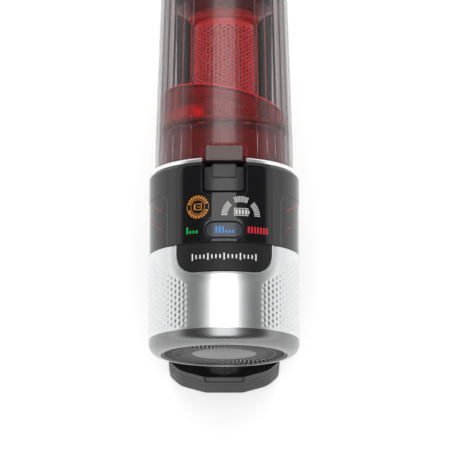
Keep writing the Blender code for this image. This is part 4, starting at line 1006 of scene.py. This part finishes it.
for bm in (skirt, skirt_bead):
    for vert in bm.verts:
        if vert.co.y > skirt_low.y + 0.1 * MM:
            vert.co.y -= vert.co.x * SKIRT_SLANT + (skirt_r - (vert.co.z - AXIS_Z)) * SKIRT_LEAN
shown("cyclone_skirt", skirt, red_clear, "dust_cup", "red_clear", "shroud_skirt")
# The bead glows: painted light that brightens its red.
bead_red_painted_glow = look("bead_red_painted_glow", (0.9, 0.02, 0.03), 0.3, grain=0.0, glow=0.5)
shown("skirt_edge", skirt_bead, bead_red_painted_glow, "dust_cup", "red")

scroll_low, scroll_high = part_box("inlet_scroll")
SCROLL_LOW_R = 22 * MM
SCROLL_HIGH_R = 35.2 * MM
SCROLL_WALL = 1.5 * MM
section = rounded(
    [
        (SCROLL_LOW_R, scroll_low.y, 2 * MM),
        (SCROLL_HIGH_R, scroll_low.y, 2 * MM),
        (SCROLL_HIGH_R, scroll_high.y, 3 * MM),
        (SCROLL_LOW_R, scroll_high.y, 3 * MM),
    ],
    5,
)
hollow = rounded(
    [
        (SCROLL_LOW_R + SCROLL_WALL, scroll_low.y + SCROLL_WALL, 1.5 * MM),
        (SCROLL_HIGH_R - SCROLL_WALL, scroll_low.y + SCROLL_WALL, 1.5 * MM),
        (SCROLL_HIGH_R - SCROLL_WALL, scroll_high.y - SCROLL_WALL, 2 * MM),
        (SCROLL_LOW_R + SCROLL_WALL, scroll_high.y - SCROLL_WALL, 2 * MM),
    ],
    5,
)
turns = [math.radians(-118 + 86 * k / 40) for k in range(41)]
loops = [[on_body(a, r, y) for r, y in section] for a in turns]
loops += [[on_body(a, r, y) for r, y in hollow] for a in turns[::-1]]
# The scroll glows a little: painted light that brightens its red.
scroll_red_painted_glow = look("scroll_red_painted_glow", (0.9, 0.02, 0.03), 0.35, grain=0.1, glow=0.25)
shown("scroll", loft(loops, joined=True), scroll_red_painted_glow, "dust_cup", "red", "inlet_scroll")

duct_low, duct_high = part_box("inlet_duct")
DUCT_LOW_R = 22.3 * MM
DUCT_HIGH_R = 33.8 * MM
DUCT_WALL = 1.5 * MM


def crescent(inset, y):
    """Section of the duct: a thick arc round the bottom of the cup."""
    half = math.radians(60) - inset / DUCT_LOW_R
    turn = [math.pi - half + 2 * half * k / 40 for k in range(41)]
    outer = [on_body(a, DUCT_HIGH_R - inset, y) for a in turn]
    inner = [on_body(a, DUCT_LOW_R + inset, y) for a in turn[::-1]]
    return outer + inner


loops = [crescent(0, duct_low.y), crescent(0, duct_high.y)]
loops += [crescent(DUCT_WALL, duct_high.y), crescent(DUCT_WALL, duct_low.y)]
shown("duct", loft(loops, joined=True), moulded_black, "dust_cup", "black_matt", "inlet_duct")

# Dust cup: one clear moulding in smoky acrylic that tapers to the front. Fine ribs run along the inside of
# both flanks, a flat tab at the top hooks behind the latch, and a red line is moulded round that tab.

cup_low, cup_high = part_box("cup_shell")
CUP_TAPER = math.tan(math.radians(1.85))
CUP_WALL = 1.8 * MM
cup_start = trim_high.y + 0.6 * MM
RIB_DEPTH = 0.75 * MM
RIB_HALF = math.radians(0.85)


def cup_radius(y):
    """The clear cup tapers towards the lid."""
    return cup_high.x - (y - cup_start) * CUP_TAPER


def rib_depth(angle):
    """Ribs stand every 10 degrees from 30 degrees off the top down to the sides and below."""
    degrees = abs(math.degrees(angle))
    if degrees < 25 or degrees > 155:
        return 0.0
    off = math.radians(abs(degrees - 10 * round(degrees / 10)))
    return RIB_DEPTH * (1 - smooth(RIB_HALF * 0.35, RIB_HALF, off))


cup_angles = []
for k in range(36):
    base = -math.pi + 2 * math.pi * k / 36
    for share in (0.0, 0.035, 0.07, 0.1, 0.2, 0.35, 0.5, 0.65, 0.8, 0.9, 0.93, 0.965):
        cup_angles.append(base + math.radians(10) * share)
stations = [cup_start + (cup_high.y - cup_start) * k / 8 for k in range(9)]
loops = []
for k, y in enumerate(stations):
    r = cup_radius(y) - (0.5 * MM if k in (0, 8) else 0)
    loops.append([on_body(a, r, y) for a in cup_angles])
for k, y in enumerate(stations[::-1]):
    r = cup_radius(y) - CUP_WALL
    end = k in (0, 8)
    loops.append([on_body(a, r - (0 if end else rib_depth(a)), y) for a in cup_angles])
# The edge colour darkens the cup's flanks as they turn away from the eye: painted shade.
smoke = look(
    "smoky_acrylic",
    (0.82, 0.72, 0.73),
    0.03,
    clear=1.0,
    ior=1.2,
    smudge=0.02,
    grain=0.0,
    tone=0.1,
    coat=0.6,
    coat_blur=0.3,
    edge=(0.4, 0.37, 0.38),
)
shown("clear_cup", loft(loops, joined=True), smoke, "dust_cup", "smoke_clear", "cup_shell", sharp=50)

tab = block((0, cup_low.y + 4.5 * MM), 21.8 * MM, 9 * MM, 1.0 * MM)
tab_top = cup_high.z - AXIS_Z
tab_smoke = look(
    "tab_smoke", (0.3, 0.22, 0.22), 0.12, clear=0.7, ior=1.3, smudge=0.02, grain=0.0, tone=0.1
)
tab_plate = plate(tab, tab_top, CUP_WALL + 0.1 * MM, 0.4 * MM, False)
shown("clear_tab", tab_plate, tab_smoke, "dust_cup", "smoke_clear")
arch = []
reach = 3.5 * MM
half = 13.4 * MM
for k in range(4):
    arch.append((half, cup_start + 0.4 * MM + 3.0 * MM * k / 4))
for k in range(9):
    a = math.pi / 2 * k / 8
    arch.append((half - reach + reach * math.cos(a), cup_start + 3.9 * MM + reach * math.sin(a)))
arch += [(x * (half - reach), arch[-1][1]) for x in (0.6, 0.2, -0.2, -0.6)]
arch += [(-x, y) for x, y in arch[:13][::-1]]
sections = []
for i, (x, y) in enumerate(arch):
    ahead = (Vector(arch[min(i + 1, len(arch) - 1)]) - Vector(arch[max(i - 1, 0)])).normalized()
    side = Vector((-ahead.y, ahead.x)) * 0.6 * MM
    section = []
    for share, rise in ((-1, -1.0), (-1, 0.25), (-0.4, 0.6), (0.4, 0.6), (1, 0.25), (1, -1.0)):
        v = Vector((x, y)) + side * share
        section.append(on_body(math.asin(v.x / cup_radius(v.y)), cup_radius(v.y) + rise * MM, v.y))
    sections.append(section)
shown("tab_arch", loft(sections), red_clear, "dust_cup", "red_clear")

# Lid: a dark round door at the front, on a steel pin under the cup, with a rubber seal behind it. The
# air inlet is a black tube on its face with a block of contacts under it, and a latch holds it shut.


def refined(name, node, finish, body, slot, width=0.4 * MM, segments=2):
    """A node's own shape with its sharp edges rounded."""
    bm = bmesh.new()
    bm.from_mesh(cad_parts[node].data)
    bmesh.ops.remove_doubles(bm, verts=bm.verts[:], dist=1e-6)
    bmesh.ops.dissolve_limit(bm, angle_limit=math.radians(1.5), verts=bm.verts[:], edges=bm.edges[:])
    made = shown(name, bm, finish, body, slot, node)
    edge = made.modifiers.new("edge", "BEVEL")
    edge.width = width
    edge.segments = segments
    edge.limit_method = "ANGLE"
    edge.angle_limit = math.radians(38)
    return made


refined("front_lid", "lid", dark_gloss, "lid", "dark_gloss", 0.5 * MM)
dress(rubber, "lid_seal")
nozzle_low, nozzle_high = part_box("inlet_nozzle")
nozzle_z = (nozzle_low.z + nozzle_high.z) / 2
NOZZLE_BORE_R = 15 * MM
NOZZLE_R = 17.5 * MM
NOZZLE_WAIST_R = 17.0 * MM
outline = rounded(
    [
        (NOZZLE_BORE_R, nozzle_low.y, 0),
        (NOZZLE_R, nozzle_low.y, 0),
        (NOZZLE_R, nozzle_low.y + 6 * MM, 0.4 * MM),
        (NOZZLE_WAIST_R, nozzle_low.y + 6.6 * MM, 0.3 * MM),
        (NOZZLE_WAIST_R, nozzle_high.y - 8 * MM, 0.3 * MM),
        (NOZZLE_R, nozzle_high.y - 7.4 * MM, 0.4 * MM),
        (NOZZLE_R, nozzle_high.y, 0.8 * MM),
        (NOZZLE_BORE_R, nozzle_high.y, 0.5 * MM),
    ],
    4,
)
shown("nozzle", lathe(outline, 128, centre_z=nozzle_z), moulded_black, "lid", "black_matt", "inlet_nozzle")
refined("contact_block", "nozzle_contacts", moulded_black, "lid", "black_matt", 0.3 * MM)
refined("lid_catch", "lid_latch", moulded_black, "lid_latch", "black_matt", 0.4 * MM)

# Battery: a black pack moulded in two parts with the cells inside, which the cleaner also stands on. Its
# release key is at the back, in the dock that the pack slides into.

foot_gloss = look("foot_gloss", (0.013, 0.013, 0.014), 0.24, smudge=0.05, grain=0.05, ior=1.05)
cell_wrap = look("cell_wrap", (0.03, 0.16, 0.32), 0.35, grain=0.1)
refined("pack_case", "battery_case", foot_gloss, "battery", "black_gloss", 0.7 * MM, 3)
refined("pack_cover", "battery_cover", foot_gloss, "battery", "black_gloss", 0.5 * MM, 3)
dress(cell_wrap, "cell_block")
dress(board_green, "battery_board")
dress(steel, "battery_contacts")
refined("release_key", "battery_release", foot_gloss, "battery_release", "black_matt", 0.4 * MM)
refined("pack_dock", "battery_dock", foot_gloss, "body", "black_matt", 0.5 * MM)

# Pistol grip: two halves of soft black plastic screwed together, with the trigger in a slot at the front.
# A thin tongue inside closes the joint between the halves.

refined("grip_left", "handle_left", moulded_black, "body", "black_matt", 0.25 * MM, 1)
refined("grip_right", "handle_right", moulded_black, "body", "black_matt", 0.25 * MM, 1)
grip_low, grip_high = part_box("handle_left")
tongue = bmesh.new()
bmesh.ops.create_cube(tongue, size=1.0)
bmesh.ops.scale(tongue, verts=tongue.verts[:], vec=(0.2 * MM, 3 * MM, grip_high.z - grip_low.z - 4 * MM))
bmesh.ops.translate(tongue, verts=tongue.verts[:], vec=(0, -45.5 * MM, (grip_low.z + grip_high.z) / 2))
shown("grip_tongue", tongue, moulded_black, "body", "black_matt")
refined("trigger_key", "trigger", dark_gloss, "trigger", "dark_gloss", 0.7 * MM, 3)
spring("trigger_coil", "trigger_spring")
dress(moulded_black, "trigger_switch")

# Studio: a pale floor under plain soft light. A long overhead panel gives the bright line along the top,
# and the pale horizon and the floor light the flanks.

floor_bm = bmesh.new()
bmesh.ops.create_grid(floor_bm, x_segments=8, y_segments=8, size=3.0)
floor_mesh = bpy.data.meshes.new("studio_floor")
floor_bm.to_mesh(floor_mesh)
floor_bm.free()
pale = look("pale_floor", (0.95, 0.95, 0.95), 0.9, smudge=0.0, grain=0.1, tone=0.02, glow=0.45)
floor_mesh.materials.append(pale)
floor = bpy.data.objects.new("studio_floor", floor_mesh)
bpy.context.scene.collection.objects.link(floor)

world = bpy.data.worlds.new("studio")
bpy.context.scene.world = world
world.use_nodes = True
tree = world.node_tree
background = tree.nodes["Background"]
where = tree.nodes.new("ShaderNodeTexCoord")
split = tree.nodes.new("ShaderNodeSeparateXYZ")
ramp = tree.nodes.new("ShaderNodeValToRGB")
tree.links.new(where.outputs["Generated"], split.inputs["Vector"])
tree.links.new(split.outputs["Z"], ramp.inputs["Fac"])
tree.links.new(ramp.outputs["Color"], background.inputs["Color"])
stops = ramp.color_ramp.elements
stops[0].position = 0.0
stops[0].color = (0.95, 0.95, 0.95, 1)
stops[1].position = 1.0
stops[1].color = (0.3, 0.3, 0.3, 1)
for position, shade in ((0.3, 0.95), (0.42, 0.1), (0.78, 0.08), (0.88, 0.3)):
    stop = stops.new(position)
    stop.color = (shade, shade, shade, 1)
background.inputs["Strength"].default_value = 1.3
bpy.context.scene.view_settings.view_transform = "Standard"


def soft_panel(name, place, aim, width, length, power):
    light = bpy.data.lights.new(name, "AREA")
    light.shape = "RECTANGLE"
    light.size = width
    light.size_y = length
    light.energy = power
    lamp = bpy.data.objects.new(name, light)
    lamp.location = place
    lamp.rotation_euler = (Vector(aim) - Vector(place)).to_track_quat("-Z", "Y").to_euler()
    lamp.visible_camera = False
    bpy.context.scene.collection.objects.link(lamp)


soft_panel("overhead_panel", (0.0, 0.0, 1.6), (0, 0, 0.2), 0.95, 2.4, 19)

eye = bpy.data.cameras.new("camera")
eye.sensor_width = 36
eye.lens = 272.6
eye.clip_end = 20
camera = bpy.data.objects.new("camera", eye)
target = Vector((0.0005, 0.0065, AXIS_Z + BODY_R))
ELEVATION = math.radians(78)
DISTANCE = 2.0
camera.location = target + DISTANCE * Vector((0, -math.cos(ELEVATION), math.sin(ELEVATION)))
camera.rotation_euler = (target - camera.location).to_track_quat("-Z", "Y").to_euler()
bpy.context.scene.collection.objects.link(camera)
bpy.context.scene.camera = camera
